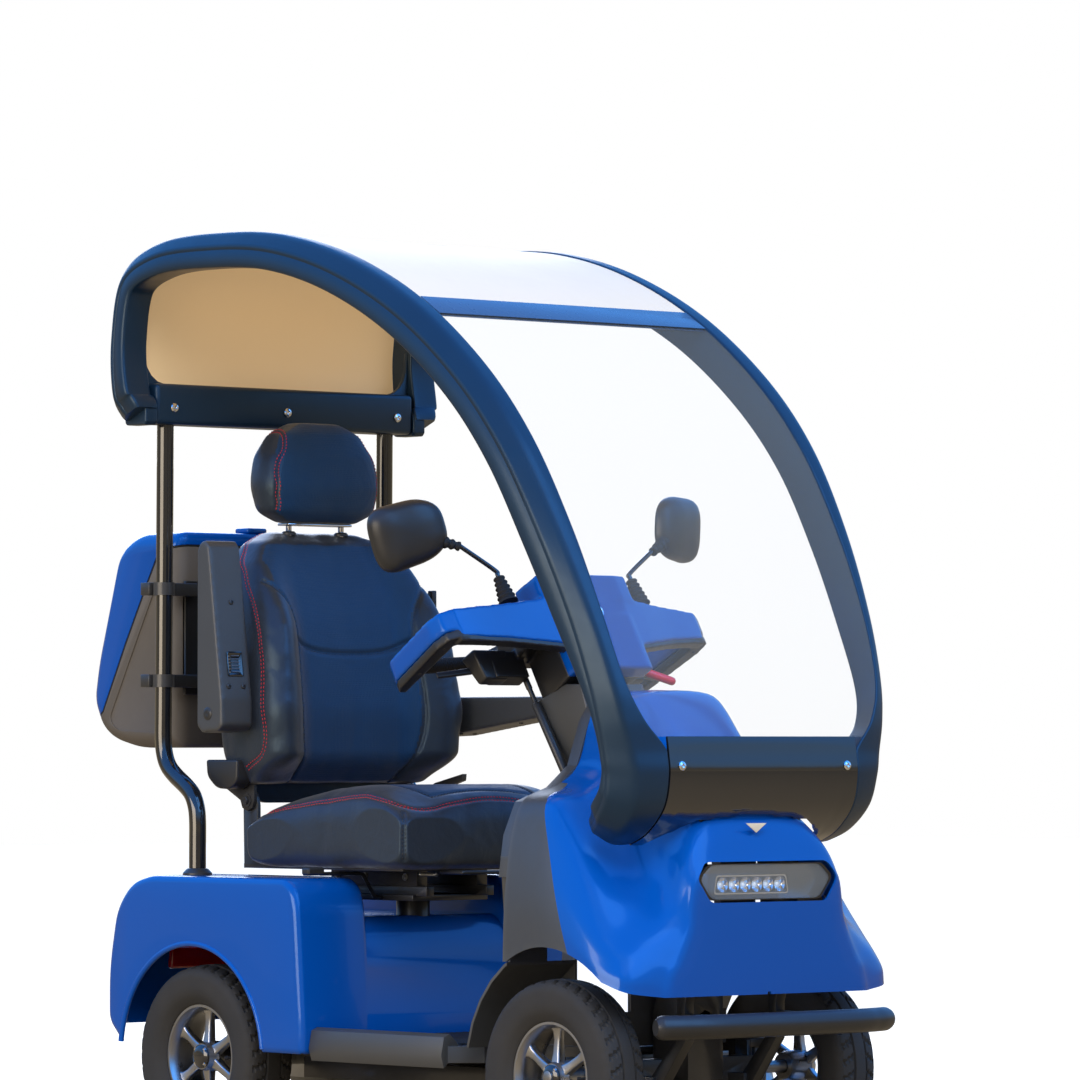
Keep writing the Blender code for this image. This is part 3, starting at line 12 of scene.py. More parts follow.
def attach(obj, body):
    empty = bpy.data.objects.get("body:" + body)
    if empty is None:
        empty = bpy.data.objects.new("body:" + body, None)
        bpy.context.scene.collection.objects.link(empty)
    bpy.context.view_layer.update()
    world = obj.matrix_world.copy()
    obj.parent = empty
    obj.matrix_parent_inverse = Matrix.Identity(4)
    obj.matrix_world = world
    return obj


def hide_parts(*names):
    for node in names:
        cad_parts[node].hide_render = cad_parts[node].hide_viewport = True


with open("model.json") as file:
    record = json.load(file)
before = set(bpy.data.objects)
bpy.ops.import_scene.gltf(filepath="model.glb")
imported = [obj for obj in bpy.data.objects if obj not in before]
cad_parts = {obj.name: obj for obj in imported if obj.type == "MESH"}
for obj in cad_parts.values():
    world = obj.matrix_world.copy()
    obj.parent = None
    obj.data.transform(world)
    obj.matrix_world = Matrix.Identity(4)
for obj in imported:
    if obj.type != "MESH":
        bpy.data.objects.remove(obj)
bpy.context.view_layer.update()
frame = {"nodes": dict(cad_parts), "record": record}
NODES = frame["nodes"]
BODY_OF = {node: body for body, names in frame["record"]["behaviour"]["bodies"].items() for node in names}
SLOT_OF = {row["node"]: row["material_slot"] for row in frame["record"]["subparts"]}
SIDES = (("right", -1), ("left", 1))


# ---------------------------------------------------------------- camera and light
def add_camera():
    data = bpy.data.cameras.new("camera")
    data.lens = 209.0
    data.sensor_width = 36.0
    camera = bpy.data.objects.new("camera", data)
    camera.location = (9.44049, -8.29895, 0.82)
    camera.rotation_euler = (math.radians(91.8361), 0, math.radians(48))
    bpy.context.scene.collection.objects.link(camera)
    bpy.context.scene.camera = camera


def add_area(name, place, aim, size, power, colour, lights=True, shines=True):
    """A soft lamp; one that only lights shows in no gloss, and one that only shines lights nothing."""
    data = bpy.data.lights.new(name, "AREA")
    data.shape = "RECTANGLE"
    data.size, data.size_y = size
    data.energy = power
    data.color = colour
    lamp = bpy.data.objects.new(name, data)
    lamp.location = place
    lamp.visible_diffuse = lights
    lamp.visible_glossy = shines
    lamp.rotation_euler = (Vector(aim) - Vector(place)).to_track_quat("-Z", "Y").to_euler()
    bpy.context.scene.collection.objects.link(lamp)


def world_ramp(tree, height, stops, strength):
    """A sky whose colour depends on how high a ray points; 0 is straight down and 1 straight up."""
    ramp = tree.nodes.new("ShaderNodeValToRGB")
    while len(ramp.color_ramp.elements) < len(stops):
        ramp.color_ramp.elements.new(0.5)
    for element, (position, colour) in zip(ramp.color_ramp.elements, stops):
        element.position = position
        element.color = (*colour, 1)
    back = tree.nodes.new("ShaderNodeBackground")
    back.inputs["Strength"].default_value = strength
    tree.links.new(height, ramp.inputs["Fac"])
    tree.links.new(ramp.outputs["Color"], back.inputs["Color"])
    return back.outputs[0]


def add_stage():
    """Pale floor, a white surround, soft light from all round and a blue sky in the reflections."""
    scene = bpy.context.scene
    scene.view_settings.view_transform = "Standard"
    world = bpy.data.worlds.new("studio")
    scene.world = world
    world.use_nodes = True
    tree = world.node_tree
    tree.nodes.clear()
    link = tree.links.new
    coords = tree.nodes.new("ShaderNodeTexCoord")
    split = tree.nodes.new("ShaderNodeSeparateXYZ")
    height = tree.nodes.new("ShaderNodeMath")
    height.operation = "MULTIPLY_ADD"
    height.inputs[1].default_value = 0.5
    height.inputs[2].default_value = 0.5
    link(coords.outputs["Generated"], split.inputs[0])
    link(split.outputs["Z"], height.inputs[0])
    mirrored = [(0.0, (0.20, 0.16, 0.11)), (0.47, (0.34, 0.27, 0.16)), (0.53, (0.20, 0.17, 0.12)),
                (0.57, (0.20, 0.38, 0.66)), (0.70, (0.09, 0.38, 1.05)), (1.0, (0.04, 0.27, 0.95))]
    even = [(0.0, (0.50, 0.46, 0.40)), (0.50, (0.84, 0.81, 0.77)), (0.58, (0.92, 0.95, 0.98)),
            (1.0, (0.92, 0.94, 0.96))]
    path = tree.nodes.new("ShaderNodeLightPath")
    seen = tree.nodes.new("ShaderNodeBackground")
    seen.inputs["Color"].default_value = (1, 1, 1, 1)
    by_gloss = tree.nodes.new("ShaderNodeMixShader")
    by_camera = tree.nodes.new("ShaderNodeMixShader")
    out = tree.nodes.new("ShaderNodeOutputWorld")
    link(path.outputs["Is Glossy Ray"], by_gloss.inputs[0])
    link(world_ramp(tree, height.outputs[0], even, 0.88), by_gloss.inputs[1])
    link(world_ramp(tree, height.outputs[0], mirrored, 1.55), by_gloss.inputs[2])
    link(path.outputs["Is Camera Ray"], by_camera.inputs[0])
    link(by_gloss.outputs[0], by_camera.inputs[1])
    link(seen.outputs[0], by_camera.inputs[2])
    link(by_camera.outputs[0], out.inputs["Surface"])
    add_area("sky", (5.5, 0.5, 5.2), (0, 0, 0.9), (6.0, 6.0), 330, (0.16, 0.46, 1.0), lights=False)
    add_area("sun", (4.0, -3.0, 5.0), (0, 0, 0.9), (3.0, 3.0), 240, (1.0, 0.97, 0.93), shines=False)
    add_area("side", (0.2, -6.5, 1.5), (0, 0, 1.0), (5.0, 2.4), 185, (1.0, 0.85, 0.66))
    add_area("top", (-0.5, 0.5, 5.0), (0, 0, 1.0), (3.0, 3.0), 20, (1.0, 0.98, 0.95), shines=False)
    add_area("rear", (-4.5, 3.0, 2.8), (0, 0, 0.9), (2.5, 2.5), 60, (0.95, 0.97, 1.0))
    bpy.ops.mesh.primitive_plane_add(size=60, location=(0, 0, -0.0005))
    floor = bpy.context.active_object
    floor.name = "floor"
    floor.data.materials.append(floor_look())


def floor_look():
    """Pale to the eye, and earthy in what it throws back on the object."""
    material = surface("floor_pale", (0.93, 0.925, 0.915), rough=0.75, vary=0.01, grain=(30.0, 0.02, 0.0003),
                       Emission_Color=(1.0, 1.0, 1.0, 1), Emission_Strength=0.34)
    tree = material.node_tree
    earth = add_node(tree, "ShaderNodeBsdfDiffuse", Color=(0.36, 0.29, 0.20, 1))
    path = add_node(tree, "ShaderNodeLightPath")
    mix = add_node(tree, "ShaderNodeMixShader")
    tree.links.new(path.outputs["Is Camera Ray"], mix.inputs[0])
    tree.links.new(earth.outputs[0], mix.inputs[1])
    tree.links.new(tree.nodes["Principled BSDF"].outputs[0], mix.inputs[2])
    tree.links.new(mix.outputs[0], tree.nodes["Material Output"].inputs["Surface"])
    return material


# ---------------------------------------------------------------- materials
def add_node(tree, kind, **values):
    node = tree.nodes.new(kind)
    for key, value in values.items():
        if key in node.inputs:
            node.inputs[key].default_value = value
        else:
            setattr(node, key, value)
    return node


def surface(name, colour, rough=0.5, metallic=0.0, vary=0.06, second=None, spread=9.0, rough_vary=0.08,
            grain=(400.0, 0.15, 0.0002), coat=0.0, coat_rough=0.05, wear=0.0, **sockets):
    """A Principled material: two-tone colour and roughness from noise, grain bump, worn edges."""
    if name in bpy.data.materials:
        return bpy.data.materials[name]
    material = bpy.data.materials.new(name)
    material.use_nodes = True
    tree = material.node_tree
    link = tree.links.new
    shader = tree.nodes["Principled BSDF"]
    coords = add_node(tree, "ShaderNodeTexCoord")
    clouds = add_node(tree, "ShaderNodeTexNoise", Scale=spread, Detail=5.0, Roughness=0.6)
    link(coords.outputs["Object"], clouds.inputs["Vector"])
    tone = add_node(tree, "ShaderNodeMix", data_type="RGBA")
    second = second or tuple(c * (1 - vary * 4) for c in colour)
    tone.inputs[6].default_value = (*colour, 1)
    tone.inputs[7].default_value = (*second, 1)
    link(clouds.outputs["Fac"], tone.inputs[0])
    result = tone.outputs[2]
    if wear:
        edge = add_node(tree, "ShaderNodeNewGeometry")
        ramp = add_node(tree, "ShaderNodeValToRGB")
        ramp.color_ramp.elements[0].position = 0.52
        ramp.color_ramp.elements[1].position = 0.60
        link(edge.outputs["Pointiness"], ramp.inputs["Fac"])
        amount = add_node(tree, "ShaderNodeMath", operation="MULTIPLY")
        amount.inputs[1].default_value = wear
        link(ramp.outputs["Color"], amount.inputs[0])
        worn = add_node(tree, "ShaderNodeMix", data_type="RGBA")
        worn.inputs[7].default_value = (*[min(1.0, c * 1.6 + 0.05) for c in colour], 1)
        link(amount.outputs[0], worn.inputs[0])
        link(result, worn.inputs[6])
        result = worn.outputs[2]
    link(result, shader.inputs["Base Color"])
    spots = add_node(tree, "ShaderNodeTexNoise", Scale=spread * 4, Detail=4.0)
    link(coords.outputs["Object"], spots.inputs["Vector"])
    gloss = add_node(tree, "ShaderNodeMapRange")
    gloss.inputs["To Min"].default_value = max(0.02, rough - rough_vary)
    gloss.inputs["To Max"].default_value = min(1.0, rough + rough_vary)
    link(spots.outputs["Fac"], gloss.inputs["Value"])
    link(gloss.outputs[0], shader.inputs["Roughness"])
    fine = add_node(tree, "ShaderNodeTexNoise", Scale=grain[0], Detail=3.0)
    link(coords.outputs["Object"], fine.inputs["Vector"])
    bump = add_node(tree, "ShaderNodeBump", Strength=grain[1], Distance=grain[2])
    link(fine.outputs["Fac"], bump.inputs["Height"])
    link(bump.outputs["Normal"], shader.inputs["Normal"])
    shader.inputs["Metallic"].default_value = metallic
    shader.inputs["Coat Weight"].default_value = coat
    shader.inputs["Coat Roughness"].default_value = coat_rough
    for key, value in sockets.items():
        shader.inputs[key.replace("_", " ")].default_value = value
    return material


def bump_chain(material, heights):
    """Adds height textures on top of a material's own grain: (node, output, strength, distance)."""
    tree = material.node_tree
    shader = tree.nodes["Principled BSDF"]
    for output, strength, distance in heights:
        bump = add_node(tree, "ShaderNodeBump", Strength=strength, Distance=distance)
        tree.links.new(output, bump.inputs["Height"])
        tree.links.new(shader.inputs["Normal"].links[0].from_socket, bump.inputs["Normal"])
        tree.links.new(bump.outputs["Normal"], shader.inputs["Normal"])
    return material


def leather():
    """Black synthetic leather: pebbled cells with fine creases. The faint navy in its base colour and the blue tint on
    its gloss are painted sky reflection.
    """
    if "leather_black" in bpy.data.materials:
        return bpy.data.materials["leather_black"]
    material = surface("leather_black", (0.012, 0.018, 0.034), rough=0.36, vary=0.05,
                       second=(0.018, 0.026, 0.044),
                       spread=7, grain=(900.0, 0.12, 0.0002), Sheen_Weight=0.10,
                       Specular_Tint=(0.55, 0.80, 1.0, 1))
    tree = material.node_tree
    coords = next(n for n in tree.nodes if n.bl_idname == "ShaderNodeTexCoord")
    cells = add_node(tree, "ShaderNodeTexVoronoi", Scale=420.0, feature="DISTANCE_TO_EDGE")
    tree.links.new(coords.outputs["Object"], cells.inputs["Vector"])
    folds = add_node(tree, "ShaderNodeTexNoise", Scale=26.0, Detail=3.0, Distortion=0.8)
    tree.links.new(coords.outputs["Object"], folds.inputs["Vector"])
    return bump_chain(material,
                      [(cells.outputs["Distance"], 0.35, 0.0006), (folds.outputs["Fac"], 0.25, 0.004)])


def woven():
    """Navy-black breathable centre fabric: fine diagonal mesh. Its base is pushed further to blue and its gloss tinted
    blue, painted sky reflection on top of the fabric's own navy-black.
    """
    if "seat_mesh" in bpy.data.materials:
        return bpy.data.materials["seat_mesh"]
    material = surface("seat_mesh", (0.003, 0.024, 0.085), rough=0.50, vary=0.1, second=(0.008, 0.036, 0.105),
                       spread=20, grain=(1500.0, 0.2, 0.0003), Sheen_Weight=0.08,
                       Specular_Tint=(0.45, 0.75, 1.0, 1))
    tree = material.node_tree
    coords = next(n for n in tree.nodes if n.bl_idname == "ShaderNodeTexCoord")
    cells = add_node(tree, "ShaderNodeTexVoronoi", Scale=260.0, feature="DISTANCE_TO_EDGE", Randomness=0.15)
    tree.links.new(coords.outputs["Object"], cells.inputs["Vector"])
    return bump_chain(material, [(cells.outputs["Distance"], 0.6, 0.0012)])


def sheet_glass():
    """Clear plastic sheet with a faint blue haze and scratches in its gloss."""
    if "clear_sheet" in bpy.data.materials:
        return bpy.data.materials["clear_sheet"]
    material = surface("clear_sheet", (0.60, 0.72, 0.90), rough=0.06, vary=0.03, spread=3, rough_vary=0.03,
                       grain=(12.0, 0.04, 0.001), coat=0.3, Alpha=0.055, Specular_IOR_Level=0.3)
    return material


PAINTS = {
    # blue_paint: the blue tint on its gloss is painted sky reflection.
    "blue_paint": dict(colour=(0.0, 0.072, 0.44), rough=0.20, vary=0.02, rough_vary=0.03, spread=4,
                       grain=(260.0, 0.03, 0.0002), coat=0.3, coat_rough=0.04,
                       Specular_Tint=(0.35, 0.68, 1.0, 1)),
    # canopy_plastic: the blue tint on its gloss is painted sky reflection.
    "canopy_plastic": dict(colour=(0.004, 0.019, 0.050), rough=0.38, vary=0.06, grain=(650.0, 0.10, 0.00012),
                           coat=0.15, coat_rough=0.20, wear=0.12, Specular_Tint=(0.55, 0.80, 1.0, 1)),
    "roof_sheet": dict(colour=(0.73, 0.70, 0.645), rough=0.40, vary=0.015, grain=(500.0, 0.05, 0.0001)),
    "gloss_black": dict(colour=(0.008, 0.010, 0.015), rough=0.10, vary=0.04, rough_vary=0.04,
                        grain=(200.0, 0.03, 0.0002), coat=1.0, coat_rough=0.04),
    "satin_black": dict(colour=(0.018, 0.019, 0.022), rough=0.36, vary=0.06, grain=(700.0, 0.14, 0.00012),
                        wear=0.2),
    "frame_paint": dict(colour=(0.016, 0.017, 0.020), rough=0.34, vary=0.06, grain=(300.0, 0.10, 0.0003),
                        wear=0.3,
                        coat=0.15),
    "dark_trim": dict(colour=(0.038, 0.042, 0.048), rough=0.44, vary=0.05, grain=(900.0, 0.25, 0.0002),
                      wear=0.2,
                      Specular_IOR_Level=0.75),
    "box_grey": dict(colour=(0.100, 0.088, 0.076), rough=0.58, vary=0.05, grain=(800.0, 0.35, 0.0003),
                     wear=0.2),
    "soft_grip": dict(colour=(0.012, 0.012, 0.013), rough=0.70, vary=0.08, grain=(800.0, 0.3, 0.0003)),
    "tyre_rubber": dict(colour=(0.016, 0.016, 0.016), rough=0.78, vary=0.10, second=(0.032, 0.030, 0.028),
                        spread=14,
                        grain=(500.0, 0.35, 0.0005)),
    "rim_alloy": dict(colour=(0.42, 0.43, 0.45), rough=0.30, metallic=1.0, vary=0.03,
                      grain=(600.0, 0.1, 0.0002)),
    "steel": dict(colour=(0.36, 0.37, 0.38), rough=0.34, metallic=1.0, vary=0.05,
                  grain=(500.0, 0.15, 0.0003)),
    "chrome": dict(colour=(0.80, 0.81, 0.83), rough=0.07, metallic=1.0, vary=0.01, rough_vary=0.03,
                   grain=(60.0, 0.02, 0.0002)),
    "red_sleeve": dict(colour=(0.62, 0.010, 0.045), rough=0.32, vary=0.04, grain=(500.0, 0.1, 0.0002),
                       coat=0.3),
    "red_lens": dict(colour=(0.50, 0.006, 0.008), rough=0.12, vary=0.03, grain=(90.0, 0.2, 0.0008), coat=1.0),
    "battery_case": dict(colour=(0.045, 0.045, 0.050), rough=0.55, vary=0.06, grain=(600.0, 0.25, 0.0003)),
}


def paint(slot):
    if slot == "leather":
        return leather()
    if slot in ("windshield", "clear_lens"):
        return sheet_glass()
    return surface("look_" + slot, **PAINTS[slot])


# ---------------------------------------------------------------- shapes
def finish_piece(obj, node=None, body=None, replaces=()):
    """Puts a piece on the body it rides on and hides the CAD parts it replaces."""
    node = node or (replaces[0] if replaces else None)
    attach(obj, body or BODY_OF[node])
    if replaces:
        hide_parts(*replaces)
    return obj


def mesh_piece(name, vertices, faces, looks, smooth=True, angle=40.0):
    mesh = bpy.data.meshes.new(name)
    mesh.from_pydata([tuple(v) for v in vertices], [], [tuple(f) for f in faces])
    shape = bmesh.new()
    shape.from_mesh(mesh)
    bmesh.ops.remove_doubles(shape, verts=shape.verts, dist=1e-6)
    bmesh.ops.recalc_face_normals(shape, faces=shape.faces)
    shape.to_mesh(mesh)
    shape.free()
    for look in looks if isinstance(looks, (list, tuple)) else [looks]:
        mesh.materials.append(look)
    obj = bpy.data.objects.new(name, mesh)
    bpy.context.scene.collection.objects.link(obj)
    if smooth:
        mesh.shade_smooth()
        mesh.set_sharp_from_angle(angle=math.radians(angle))
    return obj


def copy_of(node, name):
    """A welded copy of a CAD node's mesh, with its flat faces whole again."""
    mesh = NODES[node].data.copy()
    mesh.materials.clear()
    shape = bmesh.new()
    shape.from_mesh(mesh)
    bmesh.ops.remove_doubles(shape, verts=shape.verts, dist=2e-5)
    bmesh.ops.dissolve_limit(shape, angle_limit=math.radians(0.6), verts=shape.verts, edges=shape.edges)
    bmesh.ops.recalc_face_normals(shape, faces=shape.faces)
    shape.to_mesh(mesh)
    shape.free()
    obj = bpy.data.objects.new(name, mesh)
    bpy.context.scene.collection.objects.link(obj)
    return obj


def apply_all(obj):
    bpy.context.view_layer.objects.active = obj
    for modifier in list(obj.modifiers):
        bpy.ops.object.modifier_apply(modifier=modifier.name)
    return obj


def softened(node, width, segments, angle=30.0):
    """A CAD piece with its edges rounded the way a moulding or casting has them."""
    obj = copy_of(node, "look_" + node)
    obj.data.materials.append(paint(SLOT_OF[node]))
    bevel = obj.modifiers.new("round", "BEVEL")
    bevel.width = width
    bevel.segments = segments
    bevel.limit_method = "ANGLE"
    bevel.angle_limit = math.radians(angle)
    bevel.harden_normals = False
    bevel.use_clamp_overlap = True
    apply_all(obj)
    obj.data.shade_smooth()
    obj.data.set_sharp_from_angle(angle=math.radians(45))
    return finish_piece(obj, node, replaces=(node,))


def spline(rows, samples):
    """Smooth rows of numbers through the given rows, with a number of samples between each two."""
    rows = np.asarray(rows, float)
    padded = np.vstack([2 * rows[0] - rows[1], rows, 2 * rows[-1] - rows[-2]])
    out = []
    for i in range(len(rows) - 1):
        a, b, c, d = padded[i:i + 4]
        for k in range(samples):
            s = k / samples
            out.append(0.5 * (2 * b + (c - a) * s + (2 * a - 5 * b + 4 * c - d) * s * s
                              + (3 * b - a - 3 * c + d) * s ** 3))
    out.append(rows[-1])
    return np.array(out)


def rounded(points, radii, steps):
    """A closed outline with its corners rounded."""
    out = []
    count = len(points)
    for i, radius in enumerate(radii):
        here, before, after = (Vector(points[j % count]) for j in (i, i - 1, i + 1))
        if not radius:
            out.append(tuple(here))
            continue
        to_before, to_after = before - here, after - here
        reach = min(radius, to_before.length * 0.45, to_after.length * 0.45)
        start, end = here + to_before.normalized() * reach, here + to_after.normalized() * reach
        for k in range(steps + 1):
            s = k / steps
            out.append(tuple(start * (1 - s) ** 2 + here * 2 * s * (1 - s) + end * s * s))
    return out


def skin(rings, closed_ends=True):
    """Vertices and faces of a tube of rings, each a closed loop of the same number of points."""
    count = len(rings[0])
    vertices = [p for ring in rings for p in ring]
    faces = []
    for level in range(len(rings) - 1):
        for i in range(count):
            j = (i + 1) % count
            a, b = level * count, (level + 1) * count
            faces.append((a + i, a + j, b + j, b + i))
    if closed_ends:
        faces.append(tuple(range(count)))
        faces.append(tuple(range(len(vertices) - count, len(vertices))))
    return vertices, faces


def joined(parts):
    """Several (vertices, faces) as one."""
    vertices, faces = [], []
    for some, more in parts:
        start = len(vertices)
        vertices += list(some)
        faces += [tuple(start + i for i in face) for face in more]
    return vertices, faces


def tube_mesh(points, radius, sides):
    """A round bar along a route; radius is one number or one for each point."""
    points = [Vector(p) for p in points]
    radii = radius if isinstance(radius, (list, tuple)) else [radius] * len(points)
    side = None
    rings = []
    for i, point in enumerate(points):
        before, after = points[max(i - 1, 0)], points[min(i + 1, len(points) - 1)]
        heading = (after - before).normalized()
        side = heading.orthogonal() if side is None else side - heading * side.dot(heading)
        side.normalize()
        other = heading.cross(side)
        rings.append([point + (side * math.cos(a) + other * math.sin(a)) * radii[i]
                      for a in (2 * math.pi * k / sides for k in range(sides))])
    return skin(rings)


def lathe(profile, centre, axis, steps):
    """(radius, height) points turned about an axis; the profile is open and its ends are capped."""
    turn = Vector((0, 0, 1)).rotation_difference(Vector(axis).normalized()).to_matrix()
    rings = []
    for radius, height in profile:
        rings.append([Vector(centre) + turn @ Vector((radius * math.cos(a), radius * math.sin(a), height))
                      for a in (2 * math.pi * k / steps for k in range(steps))])
    return skin(rings)


def box_mesh(low, high):
    (x0, y0, z0), (x1, y1, z1) = low, high
    vertices = [Vector((x, y, z)) for z in (z0, z1) for x, y in ((x0, y0), (x1, y0), (x1, y1), (x0, y1))]
    return vertices, [(0, 1, 2, 3), (4, 5, 6, 7), (0, 1, 5, 4), (1, 2, 6, 5), (2, 3, 7, 6), (3, 0, 4, 7)]


def bevelled(obj, width, segments, angle=30.0):
    bevel = obj.modifiers.new("round", "BEVEL")
    bevel.width = width
    bevel.segments = segments
    bevel.limit_method = "ANGLE"
    bevel.angle_limit = math.radians(angle)
    apply_all(obj)
    obj.data.shade_smooth()
    obj.data.set_sharp_from_angle(angle=math.radians(45))
    return obj


def plain_bar(name, vertices_faces, look, body, bevel=0.0, segments=2, angle=40.0):
    """A small detail piece of its own."""
    obj = mesh_piece(name, *vertices_faces, look, angle=angle)
    if bevel:
        bevelled(obj, bevel, segments)
    return finish_piece(obj, body=body)


def facing_x(a, b, d):
    """An outline's point (a, b) laid on Y and Z, its depth d along X."""
    return d, a, b


def facing_y(a, b, d):
    """An outline's point (a, b) laid on X and Z, its depth d along Y."""
    return a, d, b


def facing_z(a, b, d):
    """An outline's point (a, b) laid on X and Y, its depth d along Z."""
    return a, b, d


def prism_mesh(outline, low, high, place):
    """An outline pushed between two depths; place turns (a, b, depth) into a point."""
    rings = [[place(a, b, depth) for a, b in outline] for depth in (low, high)]
    return skin(rings)


def screws(name, places, axis, radius, body, look="steel", hexagon=False, height=0.45):
    """Pan heads with a recess, or hexagon heads on washers."""
    axis = Vector(axis).normalized()
    parts = []
    for place in places:
        place = Vector(place)
        if hexagon:
            parts.append(lathe([(radius * 1.45, 0), (radius * 1.45, radius * 0.22), (0.0001, radius * 0.22)],
                               place, axis, 24))
            parts.append(lathe([(radius, radius * 0.2), (radius, radius * 0.8),
                                (radius * 0.85, radius * 0.95),
                                (0.0001, radius * 0.95)], place, axis, 6))
        else:
            parts.append(lathe([(radius, 0), (radius, radius * height * 0.4),
                                (radius * 0.85, radius * height * 0.8),
                                (radius * 0.45, radius * height), (radius * 0.42, radius * height * 0.4),
                                (0.0001, radius * height * 0.3)], place, axis, 18))
    obj = mesh_piece(name, *joined(parts), paint(look), angle=30)
    return finish_piece(obj, body=body)


# ---------------------------------------------------------------- canopy
# Stations along a side frame: the crown's x and z, the bar's depth, its outer, bevel and inner
# widths, and how far its outer side is swept back. They are the CAD's own.
CANOPY_STATIONS = [
    (-0.618, 1.470, 0.075, 0.405, 0.385, 0.345, 0.000), (-0.637, 1.519, 0.072, 0.420, 0.395, 0.355, 0.000),
    (-0.643, 1.640, 0.066, 0.420, 0.395, 0.355, 0.000), (-0.607, 1.772, 0.066, 0.420, 0.395, 0.355, 0.000),
    (-0.490, 1.829, 0.070, 0.420, 0.395, 0.355, 0.000), (-0.300, 1.838, 0.072, 0.420, 0.395, 0.355, 0.000),
    (-0.110, 1.823, 0.073, 0.420, 0.395, 0.355, 0.000), (0.090, 1.768, 0.075, 0.420, 0.395, 0.355, 0.000),
    (0.290, 1.672, 0.078, 0.420, 0.395, 0.355, 0.000), (0.468, 1.540, 0.080, 0.420, 0.395, 0.355, 0.000),
    (0.600, 1.398, 0.082, 0.416, 0.392, 0.355, 0.004), (0.705, 1.230, 0.084, 0.405, 0.384, 0.352, 0.010),
    (0.782, 1.070, 0.080, 0.388, 0.372, 0.346, 0.016), (0.830, 0.940, 0.064, 0.374, 0.358, 0.332, 0.022),
    (0.851, 0.862, 0.052, 0.364, 0.344, 0.300, 0.028), (0.860, 0.800, 0.048, 0.354, 0.328, 0.2475, 0.032),
    (0.864, 0.755, 0.050, 0.348, 0.320, 0.2475, 0.036), (0.850, 0.696, 0.060, 0.344, 0.312, 0.2475, 0.036),
    (0.805, 0.648, 0.064, 0.334, 0.302, 0.2475, 0.034), (0.752, 0.622, 0.054, 0.312, 0.284, 0.2475, 0.028),
]
PER_STATION = 10
CROWN = spline(CANOPY_STATIONS, PER_STATION)
CROWN[:, 5] = np.maximum(CROWN[:, 5], 0.248)
SLOPE = np.gradient(CROWN[:, :2], axis=0)
SLOPE /= np.linalg.norm(SLOPE, axis=1)[:, None]
STRIP_X = (0.283, 0.305)


def crown_rows(start, end):
    """Rows between two positions, which are counted in stations: the row and its inward direction."""
    positions = np.arange(math.ceil(start * PER_STATION), math.floor(end * PER_STATION) + 1)
    rows = [(CROWN[i], Vector((SLOPE[i][1], 0, -SLOPE[i][0]))) for i in positions]
    return rows


def where(column, value, low, high):
    """Station position between two whole ones where a column passes a value."""
    part = CROWN[low * PER_STATION:high * PER_STATION + 1, column]
    return low + int(np.argmin(np.abs(part - value))) / PER_STATION


def build_canopy_side(label, side):
    """Side frame: flat outer face with a groove, soft bevel, crown, and a lip along its inside."""
    rings = []
    rows = crown_rows(0, len(CANOPY_STATIONS) - 1)
    for index, ((x, z, depth, outer, bevel, inner, sweep), inward) in enumerate(rows):
        corners = [(inner, depth * 0.98), (inner, 0.0), (bevel, 0.0), (outer, 0.028),
                   (outer, 0.0370), (outer - 0.0004, 0.0374), (outer - 0.0004, 0.0380), (outer, 0.0384),
                   (outer, depth), ((inner + outer) / 2, depth * 1.02)]
        loop = rounded(corners, [0.004, 0.006, 0.012, 0.012, 0, 0, 0, 0, 0.008, 0.03], 4)
        crown = Vector((x, 0, z))
        ends = min(index, len(rows) - 1 - index)
        pinch = 0.0 if ends > 1 else (0.0035 if ends == 0 else 0.001)
        middle_y, middle_d = (inner + outer) / 2, depth / 2
        ring = []
        for y, d in loop:
            y += (middle_y - y) * pinch / 0.04
            d += (middle_d - d) * pinch / 0.04
            share = 0.45 * (y - inner) / (bevel - inner) if y < bevel else 0.45 + 0.55 * (y - bevel) / (outer - bevel)
            back = Vector((-sweep * max(0.0, min(1.0, share)), 0, 0))
            ring.append(crown + inward * d + back + Vector((0, side * y, 0)))
        rings.append(ring)
    node = "canopy_side_" + label
    return finish_piece(mesh_piece("canopy_frame_" + label, *skin(rings), paint("canopy_plastic"), angle=50),
                        replaces=(node,))


def curved_sheet(name, rows, outside, thickness, gap, looks, node, across=10):
    """A sheet between the side frames; its outer and inner faces may differ in look."""
    vertices, faces, inner_faces = [], [], set()
    grid = []
    for (x, z, _, _, _, inner, _), inward in rows:
        half = inner - gap
        line = []
        for depth in (outside, outside + thickness):
            for k in range(across + 1):
                share = 2 * k / across - 1
                line.append(Vector((x, share * half, z)) + inward * depth)
        grid.append(line)
    count = across + 1
    for line in grid:
        vertices += line
    for i in range(len(grid) - 1):
        a, b = i * 2 * count, (i + 1) * 2 * count
        for k in range(across):
            faces.append((a + k, a + k + 1, b + k + 1, b + k))
            inner_faces.add(len(faces))
            faces.append((a + count + k, b + count + k, b + count + k + 1, a + count + k + 1))
        for k in (0, across):
            faces.append((a + k, b + k, b + count + k, a + count + k))
    for base in (0, (len(grid) - 1) * 2 * count):
        for k in range(across):
            faces.append((base + k, base + k + 1, base + count + k + 1, base + count + k))
    mesh = bpy.data.meshes.new(name)
    mesh.from_pydata([tuple(v) for v in vertices], [], faces)
    shape = bmesh.new()
    shape.from_mesh(mesh)
    bmesh.ops.recalc_face_normals(shape, faces=shape.faces)
    shape.to_mesh(mesh)
    shape.free()
    for look in looks:
        mesh.materials.append(look)
    if len(looks) > 1:
        for index in inner_faces:
            mesh.polygons[index].material_index = 1
    mesh.shade_smooth()
    mesh.set_sharp_from_angle(angle=math.radians(40))
    obj = bpy.data.objects.new(name, mesh)
    bpy.context.scene.collection.objects.link(obj)
    return finish_piece(obj, replaces=(node,))


